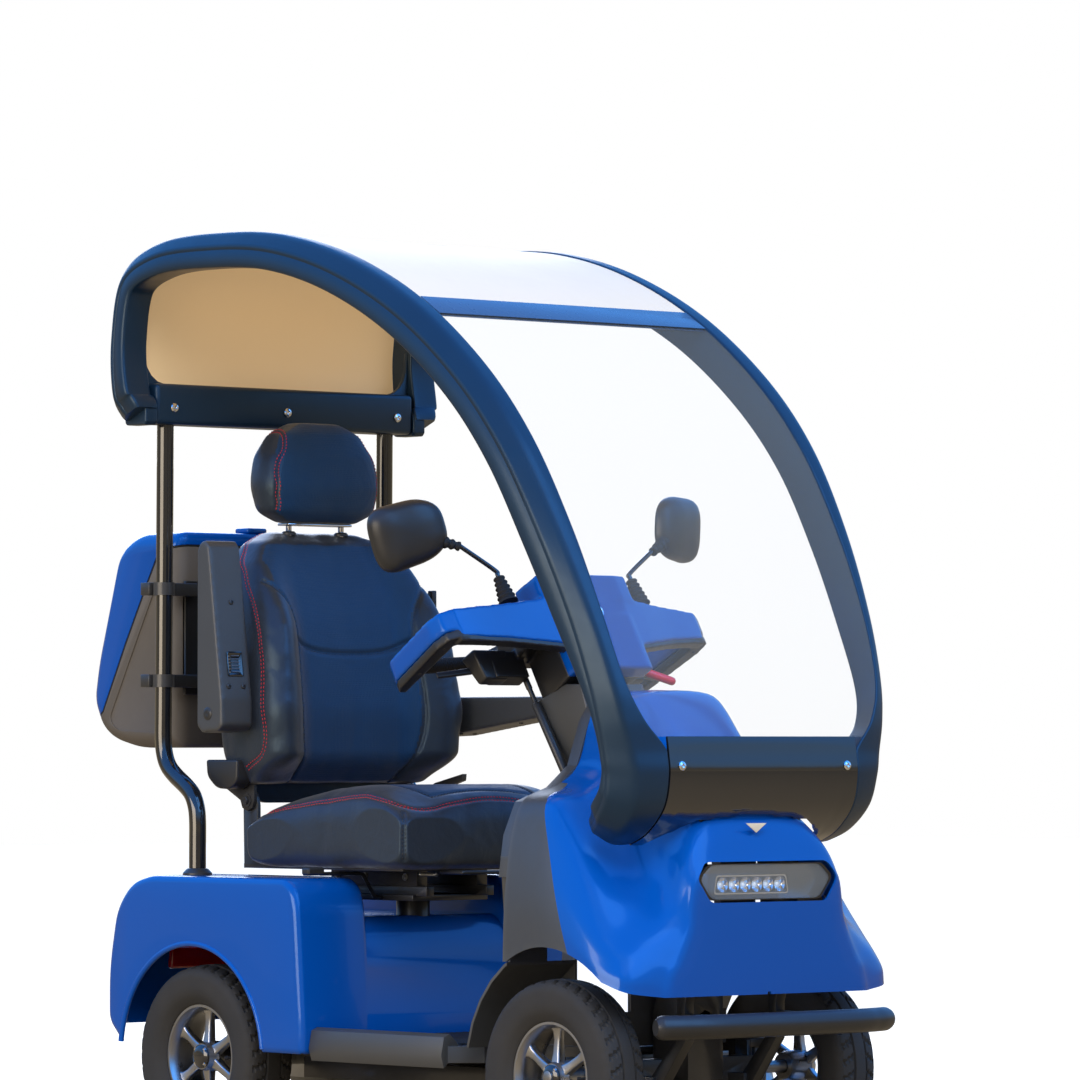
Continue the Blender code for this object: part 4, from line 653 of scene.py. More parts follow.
def build_canopy():
    for label, side in SIDES:
        build_canopy_side(label, side)
    # The roof sheet's inner face: warm beige with a faint glow, painted light standing in for the warm bounced light
    # on the sheet's underside; the sheet itself is cream.
    roof_inside_painted_light = surface("roof_inside", (0.80, 0.62, 0.38), rough=0.5, vary=0.02, second=(0.76, 0.58, 0.35),
                    spread=5,
                    grain=(900.0, 0.10, 0.00015), Emission_Color=(0.80, 0.56, 0.30, 1),
                    Emission_Strength=0.26)
    start = where(1, 1.553, 1, 2)
    middle = [where(0, x, 7, 9) for x in STRIP_X]
    bottom = where(1, 0.832, 13, 16)
    curved_sheet("roof_panel", crown_rows(start, middle[0]), 0.003, 0.004, 0.0012,
                 [paint("roof_sheet"), roof_inside_painted_light], "roof_sheet")
    curved_sheet("windshield_sheet", crown_rows(middle[1], bottom), 0.003, 0.004, 0.0012, [sheet_glass()],
                 "windshield")
    strip_look = surface("strip_blue", (0.035, 0.085, 0.22), rough=0.28, vary=0.04,
                         grain=(500.0, 0.08, 0.0001),
                         coat=0.3)
    rows = crown_rows(middle[0] - 0.11, middle[1] + 0.11)
    rings = []
    for (x, z, _, _, _, inner, _), inward in (rows[0], rows[-1]):
        section = []
        for y in (-(inner - 0.0013), inner - 0.0013):
            section += [Vector((x, y, z)) + inward * d
                        for d in ((0.0010, 0.0026) if y < 0 else (0.0026, 0.0010))]
        rings.append(section)
    strip = mesh_piece("cross_strip", *skin(rings), strip_look)
    finish_piece(bevelled(strip, 0.0007, 2), body="chassis")
    rings = [[p + Vector(rows[0][1]) * 0.0062 for p in ring] for ring in rings]
    strip = mesh_piece("cross_strip_inner", *skin(rings), strip_look)
    finish_piece(bevelled(strip, 0.0007, 2), body="chassis")
    build_front_panel()
    panel = softened("canopy_rear_panel", 0.010, 4)
    panel.name = "rear_panel"
    screws("rear_panel_screws", [(-0.5585, y, 1.500) for y in (-0.30, 0.0, 0.30)], (1, 0, 0), 0.0095,
           "chassis",
           "chrome")
    for label, side in SIDES:
        curve = [(side * y, z) for y, z in ((0.300, 1.550), (0.318, 1.5545), (0.334, 1.566), (0.345, 1.582),
                                            (0.351, 1.602), (0.3545, 1.640))]
        corner = [(side * 0.3575, 1.632), (side * 0.3575, 1.474), (side * 0.300, 1.474)] + curve
        plain_bar("rear_corner_" + label, prism_mesh(corner, -0.600, -0.5900, facing_x),
                  paint("canopy_plastic"), "chassis", 0.001, 2)
        foot = rounded([(-0.626, 1.463), (-0.562, 1.463), (-0.556, 1.470), (-0.556, 1.505), (-0.600, 1.548),
                        (-0.626, 1.548)], [0.010, 0.002, 0.002, 0.010, 0.010, 0.010], 4)
        low, high = sorted((side * 0.3448, side * 0.3760))
        plain_bar("rear_foot_" + label, prism_mesh(foot, low, high, facing_y),
                  paint("canopy_plastic"), "chassis", 0.006, 3)
    screws("rear_panel_nuts", [(-0.6296, y, 1.524) for y in (-0.30, 0.30)], (-1, 0, 0), 0.006, "chassis",
           hexagon=True)


def build_front_panel():
    """Gloss panel that curls under the nose at both ends and arches over it between them."""
    half, columns, levels = 0.2472, 44, 34
    top = where(1, 0.829, 13, 16)
    arch = [(0.0, 0.684), (0.150, 0.671), (0.205, 0.640), (0.222, 0.600)]

    def lowest(y):
        y = abs(y)
        for (y0, z0), (y1, z1) in zip(arch, arch[1:]):
            if y0 <= y <= y1:
                return z0 + (z1 - z0) * (y - y0) / (y1 - y0)
        return 0.0

    def at(position):
        i = min(int(position * PER_STATION), len(CROWN) - 2)
        s = position * PER_STATION - i
        row = CROWN[i] * (1 - s) + CROWN[i + 1] * s
        slope = SLOPE[i] * (1 - s) + SLOPE[i + 1] * s
        return row, Vector((slope[1], 0, -slope[0]))

    def end_at(y):
        for i in range(int(16 * PER_STATION), len(CROWN)):
            if CROWN[i][1] <= lowest(y):
                return i / PER_STATION
        return (len(CROWN) - 1) / PER_STATION

    grids = []
    for depth in (0.0, 0.006):
        grid = []
        for c in range(columns + 1):
            share = 2 * c / columns - 1
            y = half * math.copysign(abs(share) ** 0.9, share)
            end = end_at(y)
            line = []
            for level in range(levels + 1):
                row, inward = at(top + (end - top) * level / levels)
                rim = min(level, levels - level, 2) / 2
                line.append(Vector((row[0], y, row[1])) + inward * (depth + (0.0012 * (1 - rim) if depth == 0
                                                                             else 0)))
            grid.append(line)
        grids.append(grid)
    vertices = [p for grid in grids for line in grid for p in line]
    width, size = levels + 1, (columns + 1) * (levels + 1)
    faces = []
    for c in range(columns):
        for r in range(levels):
            a = c * width + r
            faces.append((a, a + 1, a + width + 1, a + width))
            faces.append((size + a, size + a + width, size + a + width + 1, size + a + 1))
        for r in (0, levels):
            a = c * width + r
            faces.append((a, a + width, size + a + width, size + a))
    for c in (0, columns):
        for r in range(levels):
            a = c * width + r
            faces.append((a, a + 1, size + a + 1, size + a))
    finish_piece(mesh_piece("front_panel", vertices, faces, paint("gloss_black"), angle=35),
                 replaces=("canopy_front_panel",))
    row, inward = at(where(1, 0.772, 14, 17))
    screws("front_panel_bolts",
           [Vector((row[0], side * 0.218, row[1])) - inward * 0.0004 for side in (-1, 1)],
           -inward, 0.0092, "chassis", "chrome")


def build_tubes():
    for label, side in SIDES:
        y = side * 0.295
        route = [(-0.487, y, 0.4405), (-0.487, y, 0.52), (-0.487, y, 0.60), (-0.487, y, 0.655),
                 (-0.491, y, 0.685),
                 (-0.503, y, 0.710), (-0.524, y, 0.728), (-0.558, y, 0.749), (-0.581, y, 0.768),
                 (-0.594, y, 0.792),
                 (-0.599, y, 0.825), (-0.5985, y, 0.90), (-0.596, y, 1.20), (-0.594, y, 1.4657)]
        tube = mesh_piece("rear_tube_" + label, *tube_mesh(spline(route, 6), 0.0174, 28),
                          paint("gloss_black"))
        finish_piece(tube, replaces=("canopy_tube_" + label,))
        collar = lathe([(0.0185, 0), (0.0300, 0), (0.0300, 0.004), (0.0225, 0.012), (0.0185, 0.014)],
                       (-0.487, y, 0.5485), (0, 0, 1), 32)
        plain_bar("tube_collar_" + label, collar, paint("satin_black"), "chassis")


# ---------------------------------------------------------------- rear box
BOX_FRONT_X = -0.648
BOX_SEAM = [(-0.905, 0.848), (-0.890, 0.880), (-0.815, 1.020), (-0.740, 1.150), (-0.705, 1.208),
            (BOX_FRONT_X, 1.232)]


def boolean(target, operation, tool):
    modifier = target.modifiers.new("cut", "BOOLEAN")
    modifier.operation = operation
    modifier.solver = "EXACT"
    modifier.object = tool
    bpy.context.view_layer.objects.active = target
    bpy.ops.object.modifier_apply(modifier=modifier.name)
    bpy.data.objects.remove(tool)
    return target


def box_loop(inset):
    """Side outline of the whole rear box with large soft corners, (x, z)."""
    i = inset
    corners = [(BOX_FRONT_X - i, 0.806 + i), (BOX_FRONT_X - i, 1.2515 - i), (-0.785, 1.2515 - i),
               (-0.838, 1.225 - i), (-0.925 + i, 0.985), (-0.9395 + i, 0.905), (-0.915 + i, 0.846 + i),
               (-0.872, 0.822 + i), (-0.800, 0.806 + i)]
    return rounded(corners, [0.012, 0.014, 0.030, 0.060, 0.050, 0.040, 0.030, 0.030, 0.030], 6)


def box_solid(name, inset, look):
    half = 0.2218 - inset
    radius = 0.036 - inset * 0.5
    rings = []
    for side in (-1, 1):
        steps = range(9) if side < 0 else range(8, -1, -1)
        for k in steps:
            a = math.pi / 2 * k / 8
            y = side * (half - radius + radius * math.cos(a))
            pull = inset + radius * (1 - math.sin(a)) * 0.85
            rings.append([(x, y, z) for x, z in box_loop(pull)])
    return mesh_piece(name, *skin(rings), look, angle=40)


def beyond_seam(offset):
    line = [(x - offset * 0.87, z + offset * 0.5) for x, z in BOX_SEAM]
    line[0] = (line[0][0] - 0.06, line[0][1] - 0.01)
    line[-1] = (BOX_FRONT_X + 0.05, 1.232 + offset)
    outline = line + [(BOX_FRONT_X + 0.05, 1.35), (-1.10, 1.35), (-1.10, line[0][1])]
    return mesh_piece("beyond", *prism_mesh(outline, -0.3, 0.3, facing_y), paint("blue_paint"))


def build_rear_box():
    """Two-tone luggage box: blue lid, grained base with a recessed side field, seal between them."""
    base = boolean(box_solid("luggage_base", 0.0, paint("box_grey")), "DIFFERENCE",
                   box_solid("inside", 0.0045, paint("box_grey")))
    boolean(base, "DIFFERENCE", beyond_seam(0.0))
    field = rounded([(-0.668, 0.835), (-0.668, 1.175), (-0.712, 1.150), (-0.780, 1.030), (-0.872, 0.866),
                     (-0.845, 0.842)], [0.02, 0.03, 0.03, 0.05, 0.02, 0.02], 5)
    for side in (-1, 1):
        low, high = sorted((side * 0.2195, side * 0.24))
        boolean(base, "DIFFERENCE", mesh_piece("field", *prism_mesh(field, low, high, facing_y),
                                               paint("box_grey")))
    bevelled(base, 0.0008, 2)
    finish_piece(base, replaces=("trunk_base",))
    lid = boolean(box_solid("luggage_lid", 0.0, paint("blue_paint")), "DIFFERENCE",
                  box_solid("inside", 0.0045, paint("blue_paint")))
    boolean(lid, "INTERSECT", beyond_seam(0.0055))
    bevelled(lid, 0.0007, 2)
    finish_piece(lid, replaces=("trunk_lid",))
    seal = boolean(box_solid("lid_seal", 0.0010, paint("soft_grip")), "DIFFERENCE",
                   box_solid("inside", 0.0065, paint("soft_grip")))
    boolean(seal, "INTERSECT", beyond_seam(0.0014))
    boolean(seal, "DIFFERENCE", beyond_seam(0.0052))
    finish_piece(seal, body="box_lid")
    softened("trunk_latch", 0.0025, 3)
    softened("trunk_bracket", 0.0015, 2)
    bolts = [(-0.6398, side * 0.198, z) for side in (-1, 1) for z in (0.943, 1.131)]
    bolts += [(-0.6398, side * 0.09, z) for side in (-1, 1) for z in (0.96, 1.11)]
    screws("bracket_bolts", bolts, (1, 0, 0), 0.0065, "chassis", hexagon=True)
    clamps = []
    for side in (-1, 1):
        for z in (0.943, 1.131):
            clamps.append(lathe([(0.0188, -0.013), (0.0225, -0.013), (0.0225, 0.013), (0.0188, 0.013)],
                                (-0.5985 + (0.0012 if z > 1 else 0), side * 0.295, z), (0, 0, 1), 32))
    plain_bar("tube_clamps", joined(clamps), paint("frame_paint"), "chassis")


# ---------------------------------------------------------------- soft goods
def blurred(mesh, values, rounds):
    """A value on each vertex, evened out with its neighbours' a number of times."""
    count = len(values)
    ends = np.empty(len(mesh.edges) * 2, int)
    mesh.edges.foreach_get("vertices", ends)
    a, b = ends.reshape(-1, 2).T
    degree = np.bincount(a, minlength=count) + np.bincount(b, minlength=count) + 1
    for _ in range(rounds):
        total = np.bincount(a, values[b], count) + np.bincount(b, values[a], count) + values
        values = total / degree
    return values


def padded_copy(node, name, voxel, swell, pressure=4.0, steps=20, smooth=22, crease=0.15):
    """A CAD cushion remeshed, softened and puffed: cloth under pressure gives its swelling and creases."""
    obj = copy_of(node, name)
    remesh = obj.modifiers.new("remesh", "REMESH")
    remesh.mode = "VOXEL"
    remesh.voxel_size = voxel
    soften = obj.modifiers.new("soften", "SMOOTH")
    soften.factor = 0.5
    soften.iterations = smooth
    apply_all(obj)
    mesh = obj.data
    count = len(mesh.vertices)
    rest = np.empty(count * 3)
    normals = np.empty(count * 3)
    mesh.vertices.foreach_get("co", rest)
    mesh.vertices.foreach_get("normal", normals)
    rest, normals = rest.reshape(-1, 3), normals.reshape(-1, 3)
    cloth = obj.modifiers.new("cloth", "CLOTH")
    cloth.settings.use_pressure = True
    cloth.settings.uniform_pressure_force = pressure
    cloth.settings.effector_weights.gravity = 0
    cloth.settings.quality = 5
    cloth.settings.tension_stiffness = 22
    cloth.settings.compression_stiffness = 22
    cloth.settings.mass = 0.3
    scene = bpy.context.scene
    for step in range(1, steps + 1):
        scene.frame_set(step)
    evaluated = obj.evaluated_get(bpy.context.evaluated_depsgraph_get())
    moved = np.empty(count * 3)
    evaluated.data.vertices.foreach_get("co", moved)
    obj.modifiers.remove(cloth)
    scene.frame_set(1)
    outward = ((moved.reshape(-1, 3) - rest) * normals).sum(axis=1)
    broad = blurred(mesh, outward, 40)
    fine = np.clip((blurred(mesh, outward, 2) - broad) * crease, -0.0016, 0.0016)
    puff = np.clip((broad - np.percentile(broad, 25)) * 0.7, -0.001, swell)
    rest = rest + normals * (fine + blurred(mesh, puff, 12))[:, None]
    mesh.vertices.foreach_set("co", rest.ravel())
    mesh.update()
    divide = obj.modifiers.new("divide", "SUBSURF")
    divide.levels = 1
    divide.render_levels = 1
    apply_all(obj)
    obj.data.shade_smooth()
    return obj


def reshaped(obj, place):
    """Moves each vertex of a soft piece to the place that a rule gives it."""
    for vertex in obj.data.vertices:
        vertex.co = place(*vertex.co)
    obj.data.update()


def surface_tree(obj):
    mesh = obj.data
    return BVHTree.FromPolygons([v.co.copy() for v in mesh.vertices],
                                [tuple(p.vertices) for p in mesh.polygons])


def laid_path(tree, points, step, aim=None):
    """A route projected on a surface, straight ahead or to the nearest place, at an even spacing."""
    places = []
    for point in (Vector(p) for p in spline([tuple(p) for p in points], 24)):
        if aim is None:
            hit, normal, _, _ = tree.find_nearest(point)
        else:
            hit, normal, _, _ = tree.ray_cast(point - aim * 0.3, aim)
        if hit is not None:
            places.append((hit, normal))
    for _ in range(60):
        middle = [places[i - 1][0].lerp(places[i + 1][0], 0.5) for i in range(1, len(places) - 1)]
        turned = [(places[i - 1][1] + places[i][1] + places[i + 1][1]).normalized()
                  for i in range(1, len(places) - 1)]
        inner = [(p[0].lerp(m, 0.6), n) for p, m, n in zip(places[1:-1], middle, turned)]
        places = [places[0]] + inner + [places[-1]]
    evened = [places[0]]
    left = step
    for (a, na), (b, nb) in zip(places, places[1:]):
        gap = (b - a).length
        travelled = 0.0
        while gap - travelled >= left:
            travelled += left
            share = travelled / gap
            evened.append((a.lerp(b, share), na.lerp(nb, share).normalized()))
            left = step
        left -= gap - travelled
    out = []
    for i, (place, normal) in enumerate(evened):
        ahead = evened[min(i + 1, len(evened) - 1)][0] - evened[max(i - 1, 0)][0]
        heading = (ahead - normal * ahead.dot(normal)).normalized()
        out.append((place, normal, heading))
    return out


def press_seams(obj, paths, depth, width, aim=None):
    """Pulls a soft surface in along seams."""
    mesh = obj.data
    tree = surface_tree(obj)
    points = []
    for path in paths:
        points += [place for place, _, _ in laid_path(tree, path, 0.003, aim)]
    near = kdtree.KDTree(len(points))
    for i, point in enumerate(points):
        near.insert(point, i)
    near.balance()
    normals = [v.normal.copy() for v in mesh.vertices]
    for vertex, normal in zip(mesh.vertices, normals):
        _, _, distance = near.find(vertex.co)
        if distance < width * 3:
            vertex.co -= normal * depth * math.exp(-(distance / width) ** 2)
    mesh.update()


def stitches(name, obj, paths, body, look, rows=(-0.0042, 0.0042), pitch=0.0080, length=0.0052,
             radius=0.00085,
             aim=None):
    """Rows of thread stitches that dip into the surface at both ends."""
    tree = surface_tree(obj)
    parts = []
    for path in paths:
        for place, normal, heading in laid_path(tree, path, pitch, aim):
            across = normal.cross(heading)
            for row in rows:
                hit, up, _, _ = tree.find_nearest(place + across * row)
                rings = []
                for s, size, lift in ((-1, 0.45, -0.0006), (-0.6, 1.0, 0.0002), (0.6, 1.0, 0.0002),
                                      (1, 0.45, -0.0006)):
                    centre = hit + heading * (s * length / 2) + up * lift
                    rings.append([centre + (across * math.cos(a) + up * math.sin(a)) * radius * size
                                  for a in (math.pi / 3 * k for k in range(6))])
                parts.append(skin(rings))
    obj = mesh_piece(name, *joined(parts), look, angle=60)
    return finish_piece(obj, body=body)


def look_by_place(obj, look, inside):
    """Gives the faces whose middle satisfies a test a second look."""
    obj.data.materials.append(look)
    for polygon in obj.data.polygons:
        if inside(polygon.center, polygon.normal):
            polygon.material_index = 1


def lean(x, z):
    return x - 0.115 * (z - 0.74)


def thread_red():
    return surface("thread_red", (0.62, 0.012, 0.03), rough=0.6, vary=0.1, grain=(2500.0, 0.4, 0.0002))


def thread_dark():
    return surface("thread_dark", (0.03, 0.03, 0.035), rough=0.6, grain=(2500.0, 0.4, 0.0002))


def saddle(x, y):
    """How far the seat's top is above or below a flat one: crowned amidships, low at its corners."""
    crown = 0.012 * math.exp(-((x + 0.06) / 0.11) ** 2) + 0.006 * math.exp(-((x - 0.09) / 0.06) ** 2 - (y / 0.10) ** 2)
    rear = -0.034 * max(0.0, min(1.0, (-0.17 - x) / 0.20)) ** 1.3
    front = -0.020 * math.exp(-((x - 0.09) / 0.07) ** 2 - ((abs(y) - 0.19) / 0.08) ** 2)
    return crown + rear * (0.4 + 0.6 * min(1.0, abs(y) / 0.2)) + front


def build_seat_cushion():
    pad = padded_copy("seat_cushion", "seat_pad", 0.0068, 0.009)
    cx, half_x, half_y = -0.147, 0.2475, 0.250

    def squarer(x, y, z):
        p, q = (x - cx) / half_x, y / half_y
        grow = 1 + 0.20 * (p * q) ** 4
        p = math.copysign(min(abs(p) * grow, max(1.0, abs(p))), p)
        q = math.copysign(min(abs(q) * grow, max(1.0, abs(q))), q)
        x, y = cx + p * half_x, q * half_y
        return x, y, z + saddle(x, y) * max(0.0, min(1.0, (z - 0.62) / 0.07))

    reshaped(pad, squarer)
    pad.data.materials.append(leather())

    def ring(inset, z, start, end, count=40, power=0.22):
        out = []
        for k in range(count + 1):
            a = math.radians(start + (end - start) * k / count)
            c, s = math.cos(a), math.sin(a)
            x = cx + math.copysign(abs(c) ** power, c) * (half_x - inset)
            y = math.copysign(abs(s) ** power, s) * (half_y - inset)
            out.append((x, y, z + saddle(x, y)))
        return out

    edge = ring(0.016, 0.699, -178, 178, 120)
    corners = [[(cx + half_x - 0.010, side * (half_y - 0.010), z) for z in (0.690, 0.65, 0.61, 0.585)]
               for side in (-1, 1)]
    cross = [[(x, y, 0.720) for x, y in ((-0.30, side * 0.150), (-0.15, side * 0.158), (0.0, side * 0.150),
                                        (0.055, side * 0.140))] for side in (-1, 1)]
    front = [(0.055, y, 0.720) for y in (-0.140, -0.07, 0.0, 0.07, 0.140)]
    press_seams(pad, [edge] + corners, 0.0035, 0.0045)
    press_seams(pad, cross + [front], 0.0040, 0.0060)
    inner = lambda c, n: n.z > 0.6 and abs(c.y) < 0.150 and -0.34 < c.x < 0.052
    look_by_place(pad, woven(), inner)
    finish_piece(pad, replaces=("seat_cushion",))
    stitches("seat_edge_stitching", pad, [edge], "seat_carriage", thread_red())
    dark = thread_dark()
    stitches("seat_field_stitching", pad, cross + [front] + corners, "seat_carriage", dark,
             rows=(-0.0038, 0.0038))


BACK_LEVELS = [0.738, 0.775, 0.880, 1.000, 1.110, 1.180, 1.225, 1.250]
BACK_DEPTHS = [0.100, 0.128, 0.145, 0.142, 0.130, 0.118, 0.098, 0.066]


def eased(value, low, high):
    share = max(0.0, min(1.0, (value - low) / (high - low)))
    return share * share * (3 - 2 * share)


def deeper_back(x, y, z):
    """The back's bolsters stand well forward at its waist, and its rear corners are fuller."""
    depth = float(np.interp(z, BACK_LEVELS, BACK_DEPTHS))
    ahead = max(0.0, min(1.0, (x - lean(-0.468, z)) / depth))
    reach = eased(z, 0.745, 0.800) * (1 - eased(z, 1.04, 1.21))
    forward = ahead * reach * (0.016 + 0.044 * eased(abs(y), 0.11, 0.215))
    wider = 0.014 * (1 - min(1.0, ahead / 0.45)) * eased(abs(y), 0.15, 0.22) * reach
    return x + forward, y + math.copysign(wider, y), z - max(0.0, 0.80 - z) * 0.10


def build_backrest():
    pad = padded_copy("backrest_cushion", "back_pad", 0.0070, 0.008)
    reshaped(pad, deeper_back)
    pad.data.materials.append(leather())
    ahead = Vector((-1, 0, 0))
    heights = [0.722, 0.800, 0.860, 0.930, 1.000, 1.050, 1.090, 1.120, 1.145]
    spread = [0.132, 0.152, 0.162, 0.161, 0.155, 0.155, 0.165, 0.184, 0.212]
    bolsters = [[(0, side * y, z) for z, y in zip(heights, spread)] for side in (-1, 1)]
    smile = [(0, y, z)
             for y, z in ((-0.155, 1.030), (-0.115, 1.010), (-0.07, 1.001), (0.0, 0.998), (0.07, 1.001),
                          (0.115, 1.010), (0.155, 1.030))]
    rim = [(0.760, 0.262), (0.800, 0.290), (0.880, 0.300), (1.000, 0.290), (1.110, 0.272), (1.180, 0.244),
           (1.232, 0.196), (1.262, 0.130), (1.270, 0.050)]

    def behind_face(z):
        front = lean(-0.468, z) + float(np.interp(z, BACK_LEVELS, BACK_DEPTHS))
        return front + 0.060 * eased(z, 0.745, 0.800) * (1 - eased(z, 1.04, 1.21)) - 0.046

    outer = [[(behind_face(z), side * half, z) for z, half in rim] for side in (-1, 1)]
    press_seams(pad, bolsters + [smile], 0.0055, 0.0050, ahead)
    press_seams(pad, outer, 0.0022, 0.0038)

    def centre_field(c, n):
        half = float(np.interp(c.z, heights, spread)) - 0.003 if c.z < 1.145 else 0.190
        return n.x > 0.45 and abs(c.y) < half and 0.716 < c.z < 1.222

    look_by_place(pad, woven(), centre_field)
    finish_piece(pad, replaces=("backrest_cushion",))
    stitches("back_edge_stitching", pad, outer, "backrest", thread_red())
    dark = thread_dark()
    stitches("back_field_stitching", pad, bolsters + [smile], "backrest", dark, rows=(-0.0044,),
             radius=0.0006,
             aim=ahead)
    frame_panel = softened("backrest_frame", 0.0030, 3)
    frame_panel.name = "back_shell"
    cover = rounded([(-0.503, 0.782), (-0.402, 0.782), (-0.404, 0.738), (-0.428, 0.722), (-0.470, 0.724),
                     (-0.500, 0.748)], [0.006, 0.006, 0.012, 0.014, 0.014, 0.012], 5)
    skirt = rounded([(-0.205, 0.770), (-0.198, 0.722), (-0.160, 0.694), (0.160, 0.694), (0.198, 0.722),
                     (0.205, 0.770)],
                    [0.004, 0.02, 0.02, 0.02, 0.02, 0.004], 5)
    plain_bar("back_skirt", prism_mesh(skirt, -0.462, -0.446, facing_x), leather(), "backrest",
              0.006, 3)
    strap = rounded([(0.205, 1.096), (0.246, 1.096), (0.246, 1.126), (0.205, 1.126)], [0.003] * 4, 3)
    plain_bar("back_strap", prism_mesh(strap, -0.384, -0.380, facing_x), paint("satin_black"),
              "backrest", 0.001)
    buckle = rounded([(0.238, 1.090), (0.250, 1.090), (0.250, 1.132), (0.238, 1.132)], [0.003] * 4, 3)
    plain_bar("strap_buckle", prism_mesh(buckle, -0.389, -0.375, facing_x), paint("satin_black"),
              "backrest", 0.002)
    plain_bar("recliner_cover", prism_mesh(cover, -0.2610, -0.2180, facing_y), paint("satin_black"),
              "backrest", 0.005, 3)


def fuller_head(x, y, z):
    """The headrest a little larger all round, upwards from its posts' plate."""
    grow = 0.75 + 0.25 * eased(z, 1.27, 1.30)
    narrow = 1 - 0.14 * eased(z, 1.34, 1.46)
    return -0.470 + (x + 0.470) * (1 + 0.14 * grow), y * narrow * (1 + 0.18 * grow), 1.268 + (z - 1.268) * 1.13


def build_headrest():
    pad = padded_copy("headrest_cushion", "head_pad", 0.0050, 0.006)
    reshaped(pad, fuller_head)
    pad.data.materials.append(leather())
    ring = [(1.290, -0.400), (1.330, -0.395), (1.375, -0.396), (1.420, -0.402), (1.458, -0.425),
            (1.480, -0.468),
            (1.462, -0.515), (1.420, -0.545)]
    half = max(v.co.y for v in pad.data.vertices)
    seams = [[(x - 0.022, side * (half * 0.97 - 0.30 * max(0.0, z - 1.36)), z) for z, x in ring]
             for side in (-1, 1)]
    press_seams(pad, seams, 0.0030, 0.0045)
    look_by_place(pad, woven(), lambda c, n: n.x > 0.35 and abs(c.y) < half * 0.86)
    finish_piece(pad, replaces=("headrest_cushion",))
    stitches("headrest_stitching", pad, seams, "headrest", thread_red(), rows=(-0.0040, 0.0040), pitch=0.0070,
             length=0.0046)
    softened("headrest_posts", 0.0012, 2)
    guides = []
    for side in (-1, 1):
        guides.append(lathe([(0.0068, 0), (0.0150, 0), (0.0150, 0.004), (0.0115, 0.0075), (0.0068, 0.0075)],
                            (-0.470, side * 0.070, 1.243), (0, 0, 1), 28))
    plain_bar("headrest_guides", joined(guides), paint("satin_black"), "backrest")


# ---------------------------------------------------------------- tiller
HEAD_ORIGIN = Vector((0.360, 0.0, 1.030))
HEAD_TILT = math.radians(30)
DOWN_BACK = Vector((-math.cos(HEAD_TILT), 0, -math.sin(HEAD_TILT)))
HEAD_UP = Vector((-math.sin(HEAD_TILT), 0, math.cos(HEAD_TILT)))
LEFTWARD = Vector((0, 1, 0))


def head_point(u, v, n):
    """A place on the handlebar head: u towards the rider, v to the left, n up from its plane."""
    return HEAD_ORIGIN + DOWN_BACK * u + LEFTWARD * v + HEAD_UP * n


DASH_SLOPE = (head_point(0.131, 0, 0.052) - head_point(0.040, 0, 0.1045)).normalized()
DASH_NORMAL = LEFTWARD.cross(DASH_SLOPE).normalized()
if DASH_NORMAL.z < 0:
    DASH_NORMAL.negate()


def moulded(node, name, voxel, ease_steps, extra=None):
    """A CAD piece, with what is added to it, remeshed finely and eased so that its edges flow."""
    obj = copy_of(node, name)
    if extra:
        shape = bmesh.new()
        shape.from_mesh(obj.data)
        for vertices, faces in extra:
            corners = [shape.verts.new(v) for v in vertices]
            for face in faces:
                shape.faces.new([corners[i] for i in face])
        bmesh.ops.recalc_face_normals(shape, faces=shape.faces)
        shape.to_mesh(obj.data)
        shape.free()
    remesh = obj.modifiers.new("remesh", "REMESH")
    remesh.mode = "VOXEL"
    remesh.voxel_size = voxel
    ease = obj.modifiers.new("ease", "SMOOTH")
    ease.factor = 0.5
    ease.iterations = ease_steps
    apply_all(obj)
    obj.data.materials.clear()
    obj.data.materials.append(paint(SLOT_OF[node]))
    obj.data.shade_smooth()
    return finish_piece(obj, replaces=(node,))


def ring_mesh(centre, axis, radius, wire, steps=48, sides=10):
    """A closed hoop."""
    turn = Vector((0, 0, 1)).rotation_difference(Vector(axis).normalized()).to_matrix()
    vertices, faces = [], []
    for k in range(steps):
        a = 2 * math.pi * k / steps
        for j in range(sides):
            b = 2 * math.pi * j / sides
            reach = radius + wire * math.cos(b)
            vertices.append(Vector(centre) + turn @ Vector((reach * math.cos(a), reach * math.sin(a),
                                                            wire * math.sin(b))))
            here, there = k * sides, (k + 1) % steps * sides
            faces.append((here + j, here + (j + 1) % sides, there + (j + 1) % sides, there + j))
    return vertices, faces


def ribbed(start, end, first, last, ribs, depth, steps=32):
    """A tapering rubber boot with rounded ribs."""
    length = (end - start).length
    profile = [(first, 0.0)]
    count = ribs * 6
    for k in range(count + 1):
        share = k / count
        radius = first + (last - first) * share
        profile.append((radius - depth * 0.5 * (1 - math.cos(2 * math.pi * share * ribs)),
                        length * (0.04 + 0.92 * share)))
    profile.append((last * 0.92, length))
    return lathe(profile, start, end - start, steps)


# The head's front band: its front edge (u), how far it hangs below (n), at distances from the middle (v).
BAND = [(0.080, -0.0465, -0.052), (0.135, -0.0365, -0.040), (0.215, -0.0165, -0.020),
        (0.290, -0.0020, -0.008),
        (0.322, 0.0060, -0.004)]


def band_apron(side, inset, drop, depth):
    """A strip that hangs from the front band, deepest beside the tower."""
    rings = []
    for v, front, low in BAND:
        section = [(front + inset, 0.030), (front + inset, low - drop), (front + depth, low - drop),
                   (front + depth, 0.030)]
        rings.append([head_point(u, side * v, n) for u, n in section])
    return skin(rings)


